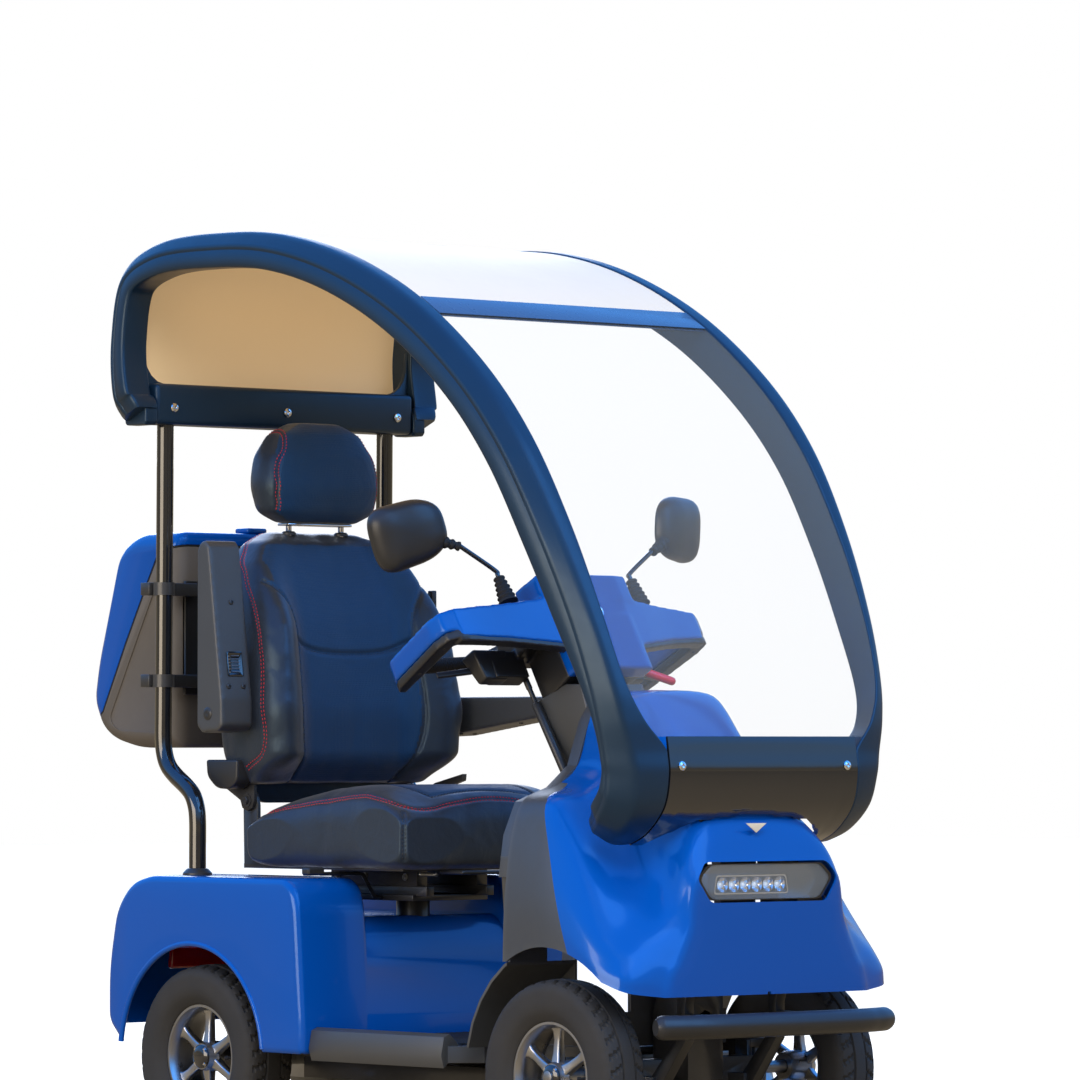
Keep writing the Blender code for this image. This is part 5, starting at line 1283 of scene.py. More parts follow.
def build_head():
    moulded("tiller_shell", "head_shell", 0.0030, 28, [band_apron(side, 0.0, 0.0, 0.020) for side in (-1, 1)])
    moulded("tiller_underside", "head_underside", 0.0028, 5,
            [band_apron(side, 0.004, 0.008, 0.026) for side in (-1, 1)])
    places = [(0.055, 0.331), (0.150, 0.323), (0.012, 0.255), (0.000, 0.165)]
    screws("underside_screws", [head_point(u, side * v, -0.0055) for u, v in places for side in (-1, 1)],
           -HEAD_UP,
           0.0042, "tiller", "satin_black")
    badge = head_point(-0.0478, 0.0, 0.024)
    plain_bar("head_ring", ring_mesh(badge, -DOWN_BACK, 0.0155, 0.0017), paint("chrome"), "tiller")
    plain_bar("head_ring_disc", lathe([(0.0145, 0), (0.0145, 0.0006), (0.010, 0.0014), (0.0001, 0.0018)],
                                      badge, -DOWN_BACK, 40), paint("gloss_black"), "tiller")
    for label, side in SIDES:
        start, end = head_point(0.176, side * 0.1518, 0.034), head_point(0.191, side * 0.3020, 0.034)
        length, pitch = (end - start).length, 0.0046
        profile = [(0.0160, 0), (0.0162, 0.0035), (0.0146, 0.0055)]
        for k in range(int((length - 0.018) / pitch)):
            base = 0.0075 + k * pitch
            profile += [(0.0135, base), (0.0148, base + 0.0012), (0.0148, base + 0.0028),
                        (0.0135, base + 0.0040)]
        profile += [(0.0146, length - 0.006), (0.0149, length - 0.002), (0.0140, length)]
        grip = mesh_piece("ribbed_grip_" + label, *lathe(profile, start, end - start, 32), paint("soft_grip"))
        finish_piece(grip, replaces=("grip_" + label,))
        box = [head_point(u, side * v, n) for n in (-0.048, 0.014)
               for u, v in ((0.086, 0.138), (0.128, 0.138), (0.128, 0.226), (0.086, 0.226))]
        middle = sum(box[:4], Vector()) / 4
        box[:4] = [middle + (p - middle) * 0.66 for p in box[:4]]
        _, faces = box_mesh((0, 0, 0), (1, 1, 1))
        plain_bar("switch_housing_" + label, (box, faces), paint("satin_black"), "tiller",
                  0.005, 3)
        button = head_point(0.1275, side * 0.160, -0.006)
        plain_bar("thumb_button_" + label,
                  lathe([(0.0075, -0.002), (0.0075, 0.003), (0.0062, 0.0045), (0.0001, 0.005)],
                        button, DOWN_BACK, 24),
                  surface("button_amber", (0.75, 0.28, 0.02), rough=0.35, grain=(600.0, 0.1, 0.0002)),
                  "tiller")
    for node in ("throttle_lever", "brake_lever"):
        softened(node, 0.0028, 3)


def build_dash():
    centre = head_point(0.0855, 0.0, 0.0785)

    def plate(half_v, half_s, low, high, shift=0.0, corner=0.006):
        outline = rounded([(-half_v, -half_s), (half_v, -half_s), (half_v, half_s), (-half_v, half_s)],
                          [corner] * 4, 5)
        return prism_mesh(outline, low, high,
                          lambda a, b, d: centre + LEFTWARD * a + DASH_SLOPE * (b + shift) + DASH_NORMAL * d)

    plain_bar("dash_bezel", plate(0.062, 0.034, -0.001, 0.0016), paint("satin_black"), "tiller",
              0.0007)
    plain_bar("dash_screen", plate(0.052, 0.021, 0.0010, 0.0024, -0.007, 0.004), paint("gloss_black"),
              "tiller",
              0.0006)
    lit = surface("display_bars", (0.10, 0.55, 0.22), rough=0.4, vary=0.05, grain=(300.0, 0.1, 0.0001))
    bars = []
    for k in range(7):
        outline = [(-0.042 + k * 0.0125, -0.012), (-0.034 + k * 0.0125, -0.012),
                   (-0.034 + k * 0.0125, -0.002),
                   (-0.042 + k * 0.0125, -0.002)]
        bars.append(prism_mesh(outline, 0.0022, 0.0028,
                               lambda a, b, d: centre + LEFTWARD * a + DASH_SLOPE * b + DASH_NORMAL * d))
    plain_bar("display_gauge", joined(bars), lit, "tiller")
    keys = []
    for k in range(4):
        keys.append(lathe([(0.0058, 0.0), (0.0058, 0.0036), (0.0048, 0.0048), (0.0001, 0.0052)],
                          centre + LEFTWARD * (-0.036 + k * 0.024) + DASH_SLOPE * 0.024, DASH_NORMAL, 20))
    plain_bar("dash_buttons", joined(keys), paint("dark_trim"), "tiller")
    knob = head_point(0.0855, 0.088, 0.0785)
    rings = []
    turn = Vector((0, 0, 1)).rotation_difference(DASH_NORMAL).to_matrix()
    for radius, height, fluted in ((0.0172, 0.0006, 0), (0.0172, 0.0030, 0), (0.0160, 0.0040, 1),
                                   (0.0152, 0.0125, 1),
                                   (0.0135, 0.0145, 0), (0.0001, 0.0148, 0)):
        ring = []
        for k in range(64):
            a = 2 * math.pi * k / 64
            reach = radius * (1 - fluted * 0.05 * (k % 4 < 2))
            ring.append(knob + turn @ Vector((reach * math.cos(a), reach * math.sin(a), height)))
        rings.append(ring)
    finish_piece(mesh_piece("fluted_dial", *skin(rings), paint("satin_black")), replaces=("speed_dial",))
    mark = [(-0.0008, -0.013), (0.0008, -0.013), (0.0008, -0.004), (-0.0008, -0.004)]
    mark = prism_mesh(mark, 0.0140, 0.0153,
                      lambda a, b, d: knob + LEFTWARD * a + DASH_SLOPE * b + DASH_NORMAL * d)
    plain_bar("dial_mark", mark, paint("roof_sheet"), "dial")
    softened("ignition_key", 0.0009, 2)


def build_column():
    column = softened("tiller_column", 0.0080, 4)
    column.name = "column_cover"
    rows = np.array([tuple(v.co) for v in column.data.vertices])
    slope, start = np.polyfit(rows[:, 2], rows[:, 0], 1)

    def fuller(x, y, z):
        share = eased(z, 0.74, 0.80)
        behind = min(0.0, x - (start + slope * z))
        return x + behind * 0.42 * share, y * (1 + 0.22 * share), z

    reshaped(column, fuller)
    top, foot = Vector((0.272, -0.090, 0.955)), Vector((0.398, -0.086, 0.752))
    reach = (foot - top).length
    strut = [lathe([(0.0001, -0.004), (0.0062, -0.004), (0.0062, reach * 0.16), (0.0050, reach * 0.17),
                    (0.0050, reach * 0.30), (0.0088, reach * 0.31), (0.0094, reach * 0.33),
                    (0.0094, reach * 0.95),
                    (0.0080, reach * 0.97), (0.0055, reach), (0.0001, reach)], top, foot - top, 28)]
    for end in (top, foot):
        strut.append(lathe([(0.0085, -0.006), (0.0085, 0.006), (0.0040, 0.008), (0.0001, 0.008)], end,
                           LEFTWARD, 24))
    plain_bar("tilt_strut", joined(strut), paint("satin_black"), "tiller", angle=35)
    root = head_point(0.020, 0.0975, -0.060)
    tip = root + Vector((0.030, 0.092, -0.030))
    length = (tip - root).length
    profile = [(0.0070, length * 0.40), (0.0084, length * 0.44), (0.0084, length * 0.98),
               (0.0078, length * 1.03),
               (0.0050, length * 1.06), (0.0001, length * 1.062)]
    sleeve = mesh_piece("tilt_sleeve", *lathe(profile, root, tip - root, 28), paint("red_sleeve"))
    finish_piece(sleeve, replaces=("tilt_lever",))
    rod = lathe([(0.0048, 0.0), (0.0048, length * 0.6)], root, tip - root, 20)
    hub = lathe([(0.0105, -0.003), (0.0105, 0.009), (0.0090, 0.011), (0.0001, 0.011)], root, LEFTWARD, 24)
    plain_bar("tilt_rod", joined([rod, hub]), paint("steel"), "tilt_release")
    softened("steering_stem", 0.0012, 2)


# ---------------------------------------------------------------- mirrors
MIRROR_BASE = Vector((0.318, 0.176, 1.105))
MIRROR_JOINT = Vector((0.273, 0.262, 1.203))
MIRROR_CENTRE = Vector((0.236, 0.362, 1.240))
MIRROR_TOE = math.radians(20)


# How each mirror is set: its middle's shift and its roll, outer end down.
MIRROR_SET = {"right": (Vector((0, 0.010, -0.018)), math.radians(17)),
              "left": (Vector((0, 0.004, 0.008)), math.radians(5))}


def mirror_ring(centre, across, forward, depth, scale, roll, steps=56):
    ring = []
    for k in range(steps):
        a = 2 * math.pi * (k + 0.5) / steps
        c, s = math.cos(a), math.sin(a)
        x = math.copysign(abs(c) ** 0.62, c) * 0.078 * scale
        z = math.copysign(abs(s) ** 0.62, s) * (0.064 + 0.011 * c) * scale
        level = x * math.cos(roll) + z * math.sin(roll)
        height = z * math.cos(roll) - x * math.sin(roll)
        ring.append(centre + across * level + Vector((0, 0, height)) + forward * depth)
    return ring


def build_mirrors():
    glass = surface("mirror_glass", (0.72, 0.76, 0.80), rough=0.03, metallic=1.0, vary=0.01, rough_vary=0.01,
                    grain=(5.0, 0.01, 0.0002))
    for label, side in SIDES:
        base, joint, centre = (Vector((p.x, side * p.y, p.z))
                               for p in (MIRROR_BASE, MIRROR_JOINT, MIRROR_CENTRE))
        shift, roll = MIRROR_SET[label]
        centre += shift
        across = Vector((-math.sin(MIRROR_TOE), side * math.cos(MIRROR_TOE), 0))
        forward = Vector((math.cos(MIRROR_TOE), side * math.sin(MIRROR_TOE), 0))
        levels = [(-0.0118, 0.900), (-0.0158, 0.905), (-0.0168, 0.930), (-0.0164, 0.975), (-0.0140, 1.000),
                  (-0.0080, 1.003), (0.0000, 0.985), (0.0070, 0.945), (0.0130, 0.875), (0.0180, 0.775),
                  (0.0218, 0.640), (0.0243, 0.470), (0.0256, 0.280), (0.0261, 0.100), (0.0262, 0.010)]
        head = skin([mirror_ring(centre, across, forward, depth, scale, roll) for depth, scale in levels])
        housing = mesh_piece("mirror_housing_" + label, *head, paint("satin_black"), angle=50)
        finish_piece(housing, replaces=("mirror_" + label,))
        plate = skin([mirror_ring(centre, across, forward, depth, scale, roll)
                      for depth, scale in ((-0.0114, 0.896), (-0.0140, 0.896), (-0.0146, 0.880),
                                           (-0.0150, 0.450),
                                           (-0.0151, 0.010))])
        plain_bar("mirror_glass_" + label, plate, glass, "mirror_head_" + label)
        socket = ribbed(joint.lerp(base, 0.05), joint.lerp(centre, 0.52), 0.0095, 0.0150, 4, 0.0030)
        plain_bar("mirror_boot_" + label, socket, paint("soft_grip"), "mirror_head_" + label)
        bend = base + HEAD_UP * 0.055 + Vector((0, side * 0.006, 0.002))
        route = [base + HEAD_UP * 0.018, base + HEAD_UP * 0.045, bend, joint]
        stem = mesh_piece("mirror_rod_" + label, *tube_mesh(spline(route, 10), 0.0047, 18),
                          paint("gloss_black"))
        finish_piece(stem, replaces=("mirror_stem_" + label,))
        foot = ribbed(base - HEAD_UP * 0.018, base + HEAD_UP * 0.038, 0.0200, 0.0120, 5, 0.0034)
        plain_bar("mirror_foot_" + label, foot, paint("soft_grip"), "mirror_arm_" + label)


# ---------------------------------------------------------------- nose
WHEEL_RADIUS, FRONT_AXLE_X, REAR_AXLE_X = 0.185, 0.63, -0.42
SHROUD_SECTIONS = [
    (0.500, [(0.085, 0.912), (0.120, 0.860), (0.150, 0.775), (0.205, 0.735), (0.290, 0.708), (0.322, 0.640),
             (0.340, 0.520), (0.345, 0.400)]),
    (0.590, [(0.085, 0.912), (0.120, 0.865), (0.155, 0.770), (0.210, 0.725), (0.300, 0.705), (0.330, 0.630),
             (0.350, 0.520), (0.355, 0.400)]),
    (0.645, [(0.070, 0.903), (0.110, 0.860), (0.150, 0.750), (0.205, 0.680), (0.300, 0.655), (0.338, 0.580),
             (0.356, 0.500), (0.362, 0.400)]),
    (0.720, [(0.055, 0.828), (0.105, 0.790), (0.150, 0.700), (0.200, 0.600), (0.300, 0.565), (0.345, 0.505),
             (0.360, 0.450), (0.364, 0.390)]),
    (0.790, [(0.055, 0.725), (0.128, 0.700), (0.172, 0.640), (0.215, 0.540), (0.290, 0.485), (0.340, 0.440),
             (0.356, 0.400), (0.360, 0.370)]),
    (0.842, [(0.060, 0.655), (0.142, 0.645), (0.190, 0.600), (0.222, 0.500), (0.275, 0.440), (0.310, 0.410),
             (0.335, 0.380), (0.340, 0.350)]),
    (0.868, [(0.060, 0.592), (0.152, 0.588), (0.191, 0.560), (0.206, 0.480), (0.235, 0.420), (0.255, 0.390),
             (0.265, 0.360), (0.268, 0.340)]),
]


LAMP_WIDTH = 1.21


def cutter(outline, low, high, axis):
    """A prism used to cut: an outline in the other two axes, between two depths along one."""
    turns = {"X": facing_x, "Y": facing_y, "Z": facing_z}
    return mesh_piece("cutter", *prism_mesh(outline, low, high, turns[axis]), paint("blue_paint"),
                      smooth=False)


def arc_points(centre, radius, start, end, steps):
    return [(centre[0] + radius * math.cos(a), centre[1] + radius * math.sin(a))
            for a in (math.radians(start + (end - start) * k / steps) for k in range(steps + 1))]


def build_nose():
    """One continuous sculpted shell with wheel arches and the lamp's opening."""
    rows = []
    for x, half in SHROUD_SECTIONS:
        line = [(-y, z) for y, z in reversed(half)] + list(half)
        rows.append([c for point in spline(line, 6) for c in (x, *point)])
    rows = spline(rows, 8)
    grid = [row.reshape(-1, 3) for row in rows]
    last, hem = grid[-1], 0.340
    for x, share in ((0.8715, 0.975), (0.8735, 0.92), (0.8742, 0.80), (0.8745, 0.55), (0.8745, 0.30),
                     (0.8745, 0.02)):
        grid.append(np.column_stack([np.full(len(last), x), last[:, 1] * share,
                                     hem + (last[:, 2] - hem) * share]))
    count = len(grid[0])
    vertices = [tuple(p) for row in grid for p in row]
    faces = [(r * count + c, r * count + c + 1, (r + 1) * count + c + 1, (r + 1) * count + c)
             for r in range(len(grid) - 1) for c in range(count - 1)]
    shell = mesh_piece("nose_shell", vertices, faces, paint("blue_paint"), angle=60)
    up = sum(1 if p.normal.z > 0 else -1 for p in shell.data.polygons if p.center.z > 0.6)
    if up < 0:
        shell.data.flip_normals()
    thick = shell.modifiers.new("wall", "SOLIDIFY")
    thick.thickness = 0.0045
    thick.offset = -1
    apply_all(shell)
    arch = arc_points((FRONT_AXLE_X, WHEEL_RADIUS), 0.246, -60, 240, 60)
    boolean(shell, "DIFFERENCE", cutter(arch, -0.45, 0.45, "Y"))
    lamp = rounded([(y * LAMP_WIDTH, z) for y, z in ((-0.133, 0.592), (-0.153, 0.560), (-0.126, 0.515),
                                                     (0.126, 0.515), (0.153, 0.560), (0.133, 0.592))],
                   [0.012] * 6, 4)
    boolean(shell, "DIFFERENCE", cutter(lamp, 0.815, 0.90, "X"))
    for side in (-1, 1):
        middle = side * 0.120
        slot = rounded([(0.780, middle - 0.0140), (0.8255, middle - 0.0140), (0.8255, middle + 0.0140),
                        (0.780, middle + 0.0140)], [0.004] * 4, 3)
        boolean(shell, "DIFFERENCE", cutter(slot, 0.60, 0.80, "Z"))
    knee_trim_look(shell)
    shell.data.shade_smooth()
    shell.data.set_sharp_from_angle(angle=math.radians(42))
    finish_piece(shell, replaces=("front_shroud",))
    tab = [(-0.045, 0.664), (0.009, 0.664), (-0.018, 0.646)]
    plain_bar("panel_tab", prism_mesh(tab, 0.8560, 0.8580, facing_x), paint("roof_sheet"), "chassis",
              0.0004)
    leg = softened("leg_shield", 0.0030, 3)
    leg.name = "leg_panel"


def knee_trim_look(shell):
    """The dark knee trim wraps round the rear of each wing, up to a slanting parting line."""
    top, foot = Vector((0.575, 0, 0.712)), Vector((0.655, 0, 0.530))
    slant = (foot - top).cross(LEFTWARD).normalized()
    if slant.x < 0:
        slant.negate()
    inner, outer = Vector((0.526, 0.205, 0)), Vector((0.575, 0.300, 0))
    shape = bmesh.new()
    shape.from_mesh(shell.data)
    planes = []
    for side in (-1, 1):
        run = Vector((outer.x - inner.x, side * (outer.y - inner.y), 0))
        normal = run.cross(Vector((0, 0, 1))).normalized()
        if normal.x < 0:
            normal.negate()
        planes.append((side, Vector((inner.x, side * inner.y, 0)), normal))

    def cut_faces(faces, place, normal):
        edges = {e for f in faces for e in f.edges}
        points = {v for f in faces for v in f.verts}
        bmesh.ops.bisect_plane(shape, geom=list(faces) + list(edges) + list(points), plane_co=place,
                               plane_no=normal,
                               dist=1e-5)

    def is_side(centre):
        return abs(centre.y) > 0.297

    cut_faces([f for f in shape.faces if is_side(f.calc_center_median())], top, slant)
    for side, place, normal in planes:
        cut_faces([f for f in shape.faces if 0.19 < side * f.calc_center_median().y < 0.30], place, normal)
    for face in shape.faces:
        middle = face.calc_center_median()
        side, place, normal = planes[0] if middle.y < 0 else planes[1]
        behind = (middle - top).dot(slant) < 0 if is_side(middle) else (middle - place).dot(normal) < 0
        if abs(middle.y) > 0.195 and behind and middle.x < 0.73:
            face.material_index = 1
    shape.to_mesh(shell.data)
    shape.free()
    shell.data.materials.append(paint("dark_trim"))


def build_headlight():
    """Dark bowl, a bar of round reflectors with bulbs, and a clear cover."""
    outline = [(y * LAMP_WIDTH, z)
               for y, z in ((-0.124, 0.588), (-0.149, 0.560), (-0.122, 0.519), (0.122, 0.519),
                            (0.149, 0.560), (0.124, 0.588))]

    def scaled(share, corner):
        points = [(y * share, 0.553 + (z - 0.553) * share) for y, z in outline]
        return rounded(points, [corner] * 6, 4)

    def shell_of(levels):
        return skin([[(x, y, z) for y, z in scaled(share, 0.012)] for x, share in levels])

    bowl = shell_of([(0.8285, 0.70), (0.8285, 0.95), (0.8600, 1.0), (0.8640, 1.0), (0.8640, 0.955),
                     (0.8400, 0.90),
                     (0.8360, 0.70)])
    plain_bar("lamp_bowl", bowl, paint("gloss_black"), "chassis")
    cover = mesh_piece("lamp_cover",
                       *shell_of([(0.8600, 0.948), (0.8640, 0.950), (0.8665, 0.930), (0.8672, 0.60)]),
                       surface("lamp_cover_clear", (0.70, 0.80, 0.95), rough=0.04, vary=0.02, rough_vary=0.02,
                               grain=(20.0, 0.03, 0.0005), coat=0.6, Alpha=0.10, Specular_IOR_Level=0.6),
                       angle=30)
    finish_piece(cover, replaces=("headlight_lens",))
    cups, bulbs = [], []
    radius, pitch = 0.0138, 0.0300
    for k in range(6):
        centre = (0.8375, (k - 3.0) * pitch - 0.012, 0.548)
        cups.append(lathe([(0.0001, 0.0), (0.0040, 0.0006), (0.0075, 0.0040), (0.0100, 0.0100),
                           (radius, 0.0150),
                           (radius + 0.0004, 0.0150), (radius + 0.0002, 0.0), (0.0001, -0.0006)], centre,
                          (1, 0, 0), 28))
        bulbs.append(lathe([(0.0001, 0.0), (0.0042, 0.0), (0.0046, 0.0050), (0.0036, 0.0090),
                            (0.0001, 0.0105)], centre,
                           (1, 0, 0), 20))
    plain_bar("lamp_reflectors", joined(cups), paint("chrome"), "chassis")
    plain_bar("lamp_bulbs", joined(bulbs),
              surface("lamp_bulb", (0.75, 0.86, 1.0), rough=0.08, vary=0.02, grain=(300.0, 0.1, 0.0002),
                      coat=1.0,
                      Emission_Color=(0.75, 0.88, 1.0, 1), Emission_Strength=0.25), "chassis")
    middle = -0.027
    frame_box = [rounded([(middle - h, 0.548 - v), (middle + h, 0.548 - v), (middle + h - 0.006, 0.548 + v),
                          (middle - h + 0.006, 0.548 + v)], [0.006] * 4, 4)
                 for h, v in ((0.0980, 0.0180), (0.0955, 0.0155))]
    rings = [[(x, y, z) for y, z in frame_box[i]]
             for x, i in ((0.838, 0), (0.853, 0), (0.853, 1), (0.838, 1))]
    vertices, faces = skin(rings, closed_ends=False)
    count = len(rings[0])
    faces += [(3 * count + i, 3 * count + (i + 1) % count, (i + 1) % count, i) for i in range(count)]
    plain_bar("lamp_bar_frame", (vertices, faces), paint("chrome"), "chassis")


# ---------------------------------------------------------------- wheels
SPOKES, LUG_NUTS, TREAD_BLOCKS = 6, 4, 36
# Radii where the tread and its shoulder begin, and how deep the grooves in each are.
TREAD_EDGE, TREAD_SHOULDER = 0.1775, 0.165
TREAD_DEPTH, TREAD_SHOULDER_DEPTH = 0.0042, 0.0016
# In shares of the half width: the ring grooves' place and half width. In shares of a block: its gap and slant.
TREAD_RIB, TREAD_GROOVE = 0.30, 0.045
TREAD_GAP, TREAD_SLANT = 0.26, 0.9


def turned_ring(profile, centre, axis, steps):
    """A turned ring round a hole: the profile's end joins its start, and the two end discs go."""
    vertices, faces = lathe(profile, centre, axis, steps)
    last = (len(profile) - 1) * steps
    closing = [(i, (i + 1) % steps, last + (i + 1) % steps, last + i) for i in range(steps)]
    return vertices, faces[:-2] + closing


def build_wheel(label, x, y, width, outward, rim_node, tyre_node):
    """Treaded tyre on a six-spoke alloy rim."""
    half, lip, steps = width / 2, 0.105, 216
    section = [(lip + 0.0002, -0.72), (0.110, -0.80), (0.122, -0.93), (0.135, -0.99), (0.150, -1.00),
               (0.163, -0.985),
               (0.1715, -0.93), (0.177, -0.84), (0.1805, -0.72), (0.1825, -0.56), (0.1840, -0.36),
               (0.1848, -0.18),
               (0.1850, 0.0)]
    section += [(r, -h) for r, h in reversed(section[:-1])]
    smooth = spline(section, 5)
    rings = []
    centre = Vector((x, y, WHEEL_RADIUS))
    for r, h in smooth:
        ring = []
        for k in range(steps):
            a = 2 * math.pi * k / steps
            reach = r
            if r > TREAD_EDGE:
                block = (TREAD_BLOCKS * k / steps + abs(h) * TREAD_SLANT) % 1.0
                if abs(abs(h) - TREAD_RIB) < TREAD_GROOVE or block < TREAD_GAP and abs(h) > TREAD_RIB:
                    reach = r - TREAD_DEPTH
            elif TREAD_SHOULDER < r and (TREAD_BLOCKS * k / steps + 0.3) % 1.0 < TREAD_GAP:
                reach = r - TREAD_SHOULDER_DEPTH
            ring.append(centre + Vector((reach * math.cos(a), h * half, reach * math.sin(a))))
        rings.append(ring)
    tyre = mesh_piece("treaded_" + tyre_node, *skin(rings, closed_ends=False), paint("tyre_rubber"), angle=28)
    inner = skin([[centre + Vector((r * math.cos(a), h * half, r * math.sin(a)))
                   for a in (2 * math.pi * k / steps for k in range(steps))]
                  for r, h in (section[-1], section[0])],
                 closed_ends=False)
    finish_piece(tyre, replaces=(tyre_node,))
    body = BODY_OF[rim_node]
    plain_bar("bead_" + label, inner, paint("tyre_rubber"), body)
    reach, edge = width / 2 * 0.70, lip - 0.0004
    plane = outward * reach * 0.45
    axis = Vector((0, 1, 0))
    barrel = [(edge, -reach), (edge, -reach * 0.9), (edge - 0.006, -reach * 0.7),
              (edge - 0.010, -reach * 0.3),
              (edge - 0.010, reach * 0.3), (edge - 0.006, reach * 0.7), (edge, reach * 0.9), (edge, reach),
              (edge - 0.005, reach), (edge - 0.011, reach * 0.75), (edge - 0.0145, reach * 0.4),
              (edge - 0.0145, -reach * 0.4), (edge - 0.011, -reach * 0.75), (edge - 0.005, -reach)]
    hub = [(0.0132, -reach * 0.9), (0.026, -reach * 0.9), (0.030, -reach * 0.6), (0.031, plane - 0.004),
           (0.033, plane), (0.031, plane + 0.004), (0.030, reach * 0.6), (0.026, reach * 0.9),
           (0.0132, reach * 0.9)]
    parts = [turned_ring(barrel, centre, axis, 96), turned_ring(hub, centre, axis, 64)]
    rim = mesh_piece("alloy_" + rim_node, *joined(parts), paint("rim_alloy"), angle=35)
    finish_piece(rim, replaces=(rim_node,))
    spokes = []
    for k in range(SPOKES):
        a = 2 * math.pi * k / SPOKES + math.pi / 6
        along, beside = Vector((math.cos(a), 0, math.sin(a))), Vector((-math.sin(a), 0, math.cos(a)))
        rows = []
        for r, wide, thick, dish in ((0.027, 0.0135, 0.0085, 0.0), (0.045, 0.0105, 0.0080, 0.002),
                                     (0.070, 0.0095, 0.0070, 0.003), (0.086, 0.0120, 0.0065, 0.002),
                                     (0.0935, 0.0190, 0.0065, 0.0)):
            middle = centre + along * r + axis * (plane - outward * dish)
            corners = [(-wide, -thick), (wide, -thick), (wide * 0.8, thick), (-wide * 0.8, thick)]
            rows.append([middle + beside * p + axis * (q * outward)
                         for p, q in rounded(corners, [0.0035] * 4, 3)])
        spokes.append(skin(rows))
    plain_bar("spokes_" + label, joined(spokes), paint("rim_alloy"), body, angle=50)
    cap = lathe([(0.0240, 0), (0.0240, 0.003), (0.0210, 0.006), (0.0120, 0.0078), (0.0001, 0.008)],
                centre + axis * outward * reach * 0.9, axis * outward, 48)
    plain_bar("hub_cap_" + label, cap, paint("gloss_black"), body)
    nuts = []
    for k in range(LUG_NUTS):
        a = 2 * math.pi * k / LUG_NUTS + math.pi / 4
        place = centre + Vector((0.0195 * math.cos(a), 0, 0.0195 * math.sin(a)))
        nuts.append(place + axis * outward * (reach * 0.9 + 0.0030))
    screws("lug_nuts_" + label, nuts, axis * outward, 0.0036, body, "chrome", hexagon=True)
    stem = lathe([(0.0030, 0), (0.0030, 0.016), (0.0040, 0.017), (0.0040, 0.023), (0.0001, 0.024)],
                 centre + Vector((0.0925, outward * reach * 0.55, 0)), Vector((-0.55, outward, 0)), 16)
    plain_bar("valve_" + label, stem, paint("soft_grip"), body)


def build_wheels():
    for label, side in SIDES:
        build_wheel("rear_" + label, REAR_AXLE_X, side * 0.300, 0.120, side, "rim_rear_" + label,
                    "tyre_rear_" + label)
        build_wheel("front_" + label, FRONT_AXLE_X, side * 0.305, 0.100, side, "rim_front_" + label,
                    "tyre_front_" + label)


# ---------------------------------------------------------------- rear body and floor
def rear_outline(top, inset):
    i = inset
    return [(-0.069 - i, 0.20 - 2 * i), (-0.069 - i, 0.26), (-0.086 - i, top - 0.06),
            (-0.098 - i, top - 0.02 - i),
            (-0.125, top - i), (-0.560, top - i), (-0.620 + i, top - 0.018 - i), (-0.665 + i, top - 0.070),
            (-0.690 + i, 0.36), (-0.690 + i, 0.25 - 2 * i), (-0.640, 0.20 - 2 * i)]


def build_rear_body():
    """Blue body moulding: two soft-edged pods over the wheels and a well between them."""
    def hull(inset, soft):
        corner = [0, 0.02, 0.02, 0.03, 0.03, 0.05, 0.05, 0.05, 0.05, 0.02, 0.02]
        parts = []
        for low, high, top in ((-0.2, 0.2, 0.470), (-0.368 + inset, -0.185 - inset, 0.548),
                               (0.185 + inset, 0.368 - inset, 0.548)):
            outline = rounded(rear_outline(top, inset), corner, 5)
            block = mesh_piece("rear_moulding", *prism_mesh(outline, low, high, facing_y),
                               paint("blue_paint"), smooth=False)
            if soft:
                bevelled(block, 0.014 if top > 0.5 else 0.004, 4, 50)
            parts.append(block)
        boolean(parts[0], "UNION", parts[1])
        return boolean(parts[0], "UNION", parts[2])

    body = boolean(hull(0.0, True), "DIFFERENCE", hull(0.006, False))
    for side in (-1, 1):
        arch = arc_points((REAR_AXLE_X, WHEEL_RADIUS), 0.225, -60, 240, 60)
        low, high = sorted((side * 0.34, side * 0.40))
        boolean(body, "DIFFERENCE", cutter(arch, low, high, "Y"))
        boolean(body, "DIFFERENCE",
                cutter(arc_points((-0.487, side * 0.295), 0.0195, 0, 345, 23), 0.50, 0.60, "Z"))
    boolean(body, "DIFFERENCE", cutter(arc_points((-0.160, 0.0), 0.037, 0, 350, 35), 0.44, 0.50, "Z"))
    lamp = rounded([(-0.215, 0.352), (0.215, 0.352), (0.215, 0.398), (-0.215, 0.398)], [0.008] * 4, 4)
    boolean(body, "DIFFERENCE", cutter(lamp, -0.70, -0.660, "X"))
    body.data.shade_smooth()
    body.data.set_sharp_from_angle(angle=math.radians(40))
    finish_piece(body, replaces=("rear_body",))
    for label, side in SIDES:
        lip = [(a, side * 0.3655, b) for a, b in arc_points((REAR_AXLE_X, WHEEL_RADIUS), 0.2275, 6, 174, 72)]
        plain_bar("arch_lip_" + label, tube_mesh(lip, 0.0058, 12), paint("blue_paint"), "chassis")
        grommet = ring_mesh((-0.487, side * 0.295, 0.5482), (0, 0, 1), 0.0205, 0.0028)
        plain_bar("tube_grommet_" + label, grommet, paint("soft_grip"), "chassis")
        seam = [(-0.150, 0.546), (-0.555, 0.546)]
        groove = [(x, side * 0.215, z + 0.0022) for x, z in seam]
        plain_bar("pod_seam_" + label, tube_mesh(groove, 0.0012, 8), paint("gloss_black"), "chassis")
    softened("tail_light", 0.0045, 3)
    ribs = []
    for k in range(21):
        y = -0.20 + k * 0.02
        ribs.append(box_mesh((-0.6990, y - 0.0035, 0.3575), (-0.6965, y + 0.0035, 0.3925)))
    plain_bar("tail_ribs", joined(ribs), paint("red_lens"), "chassis", 0.0008)


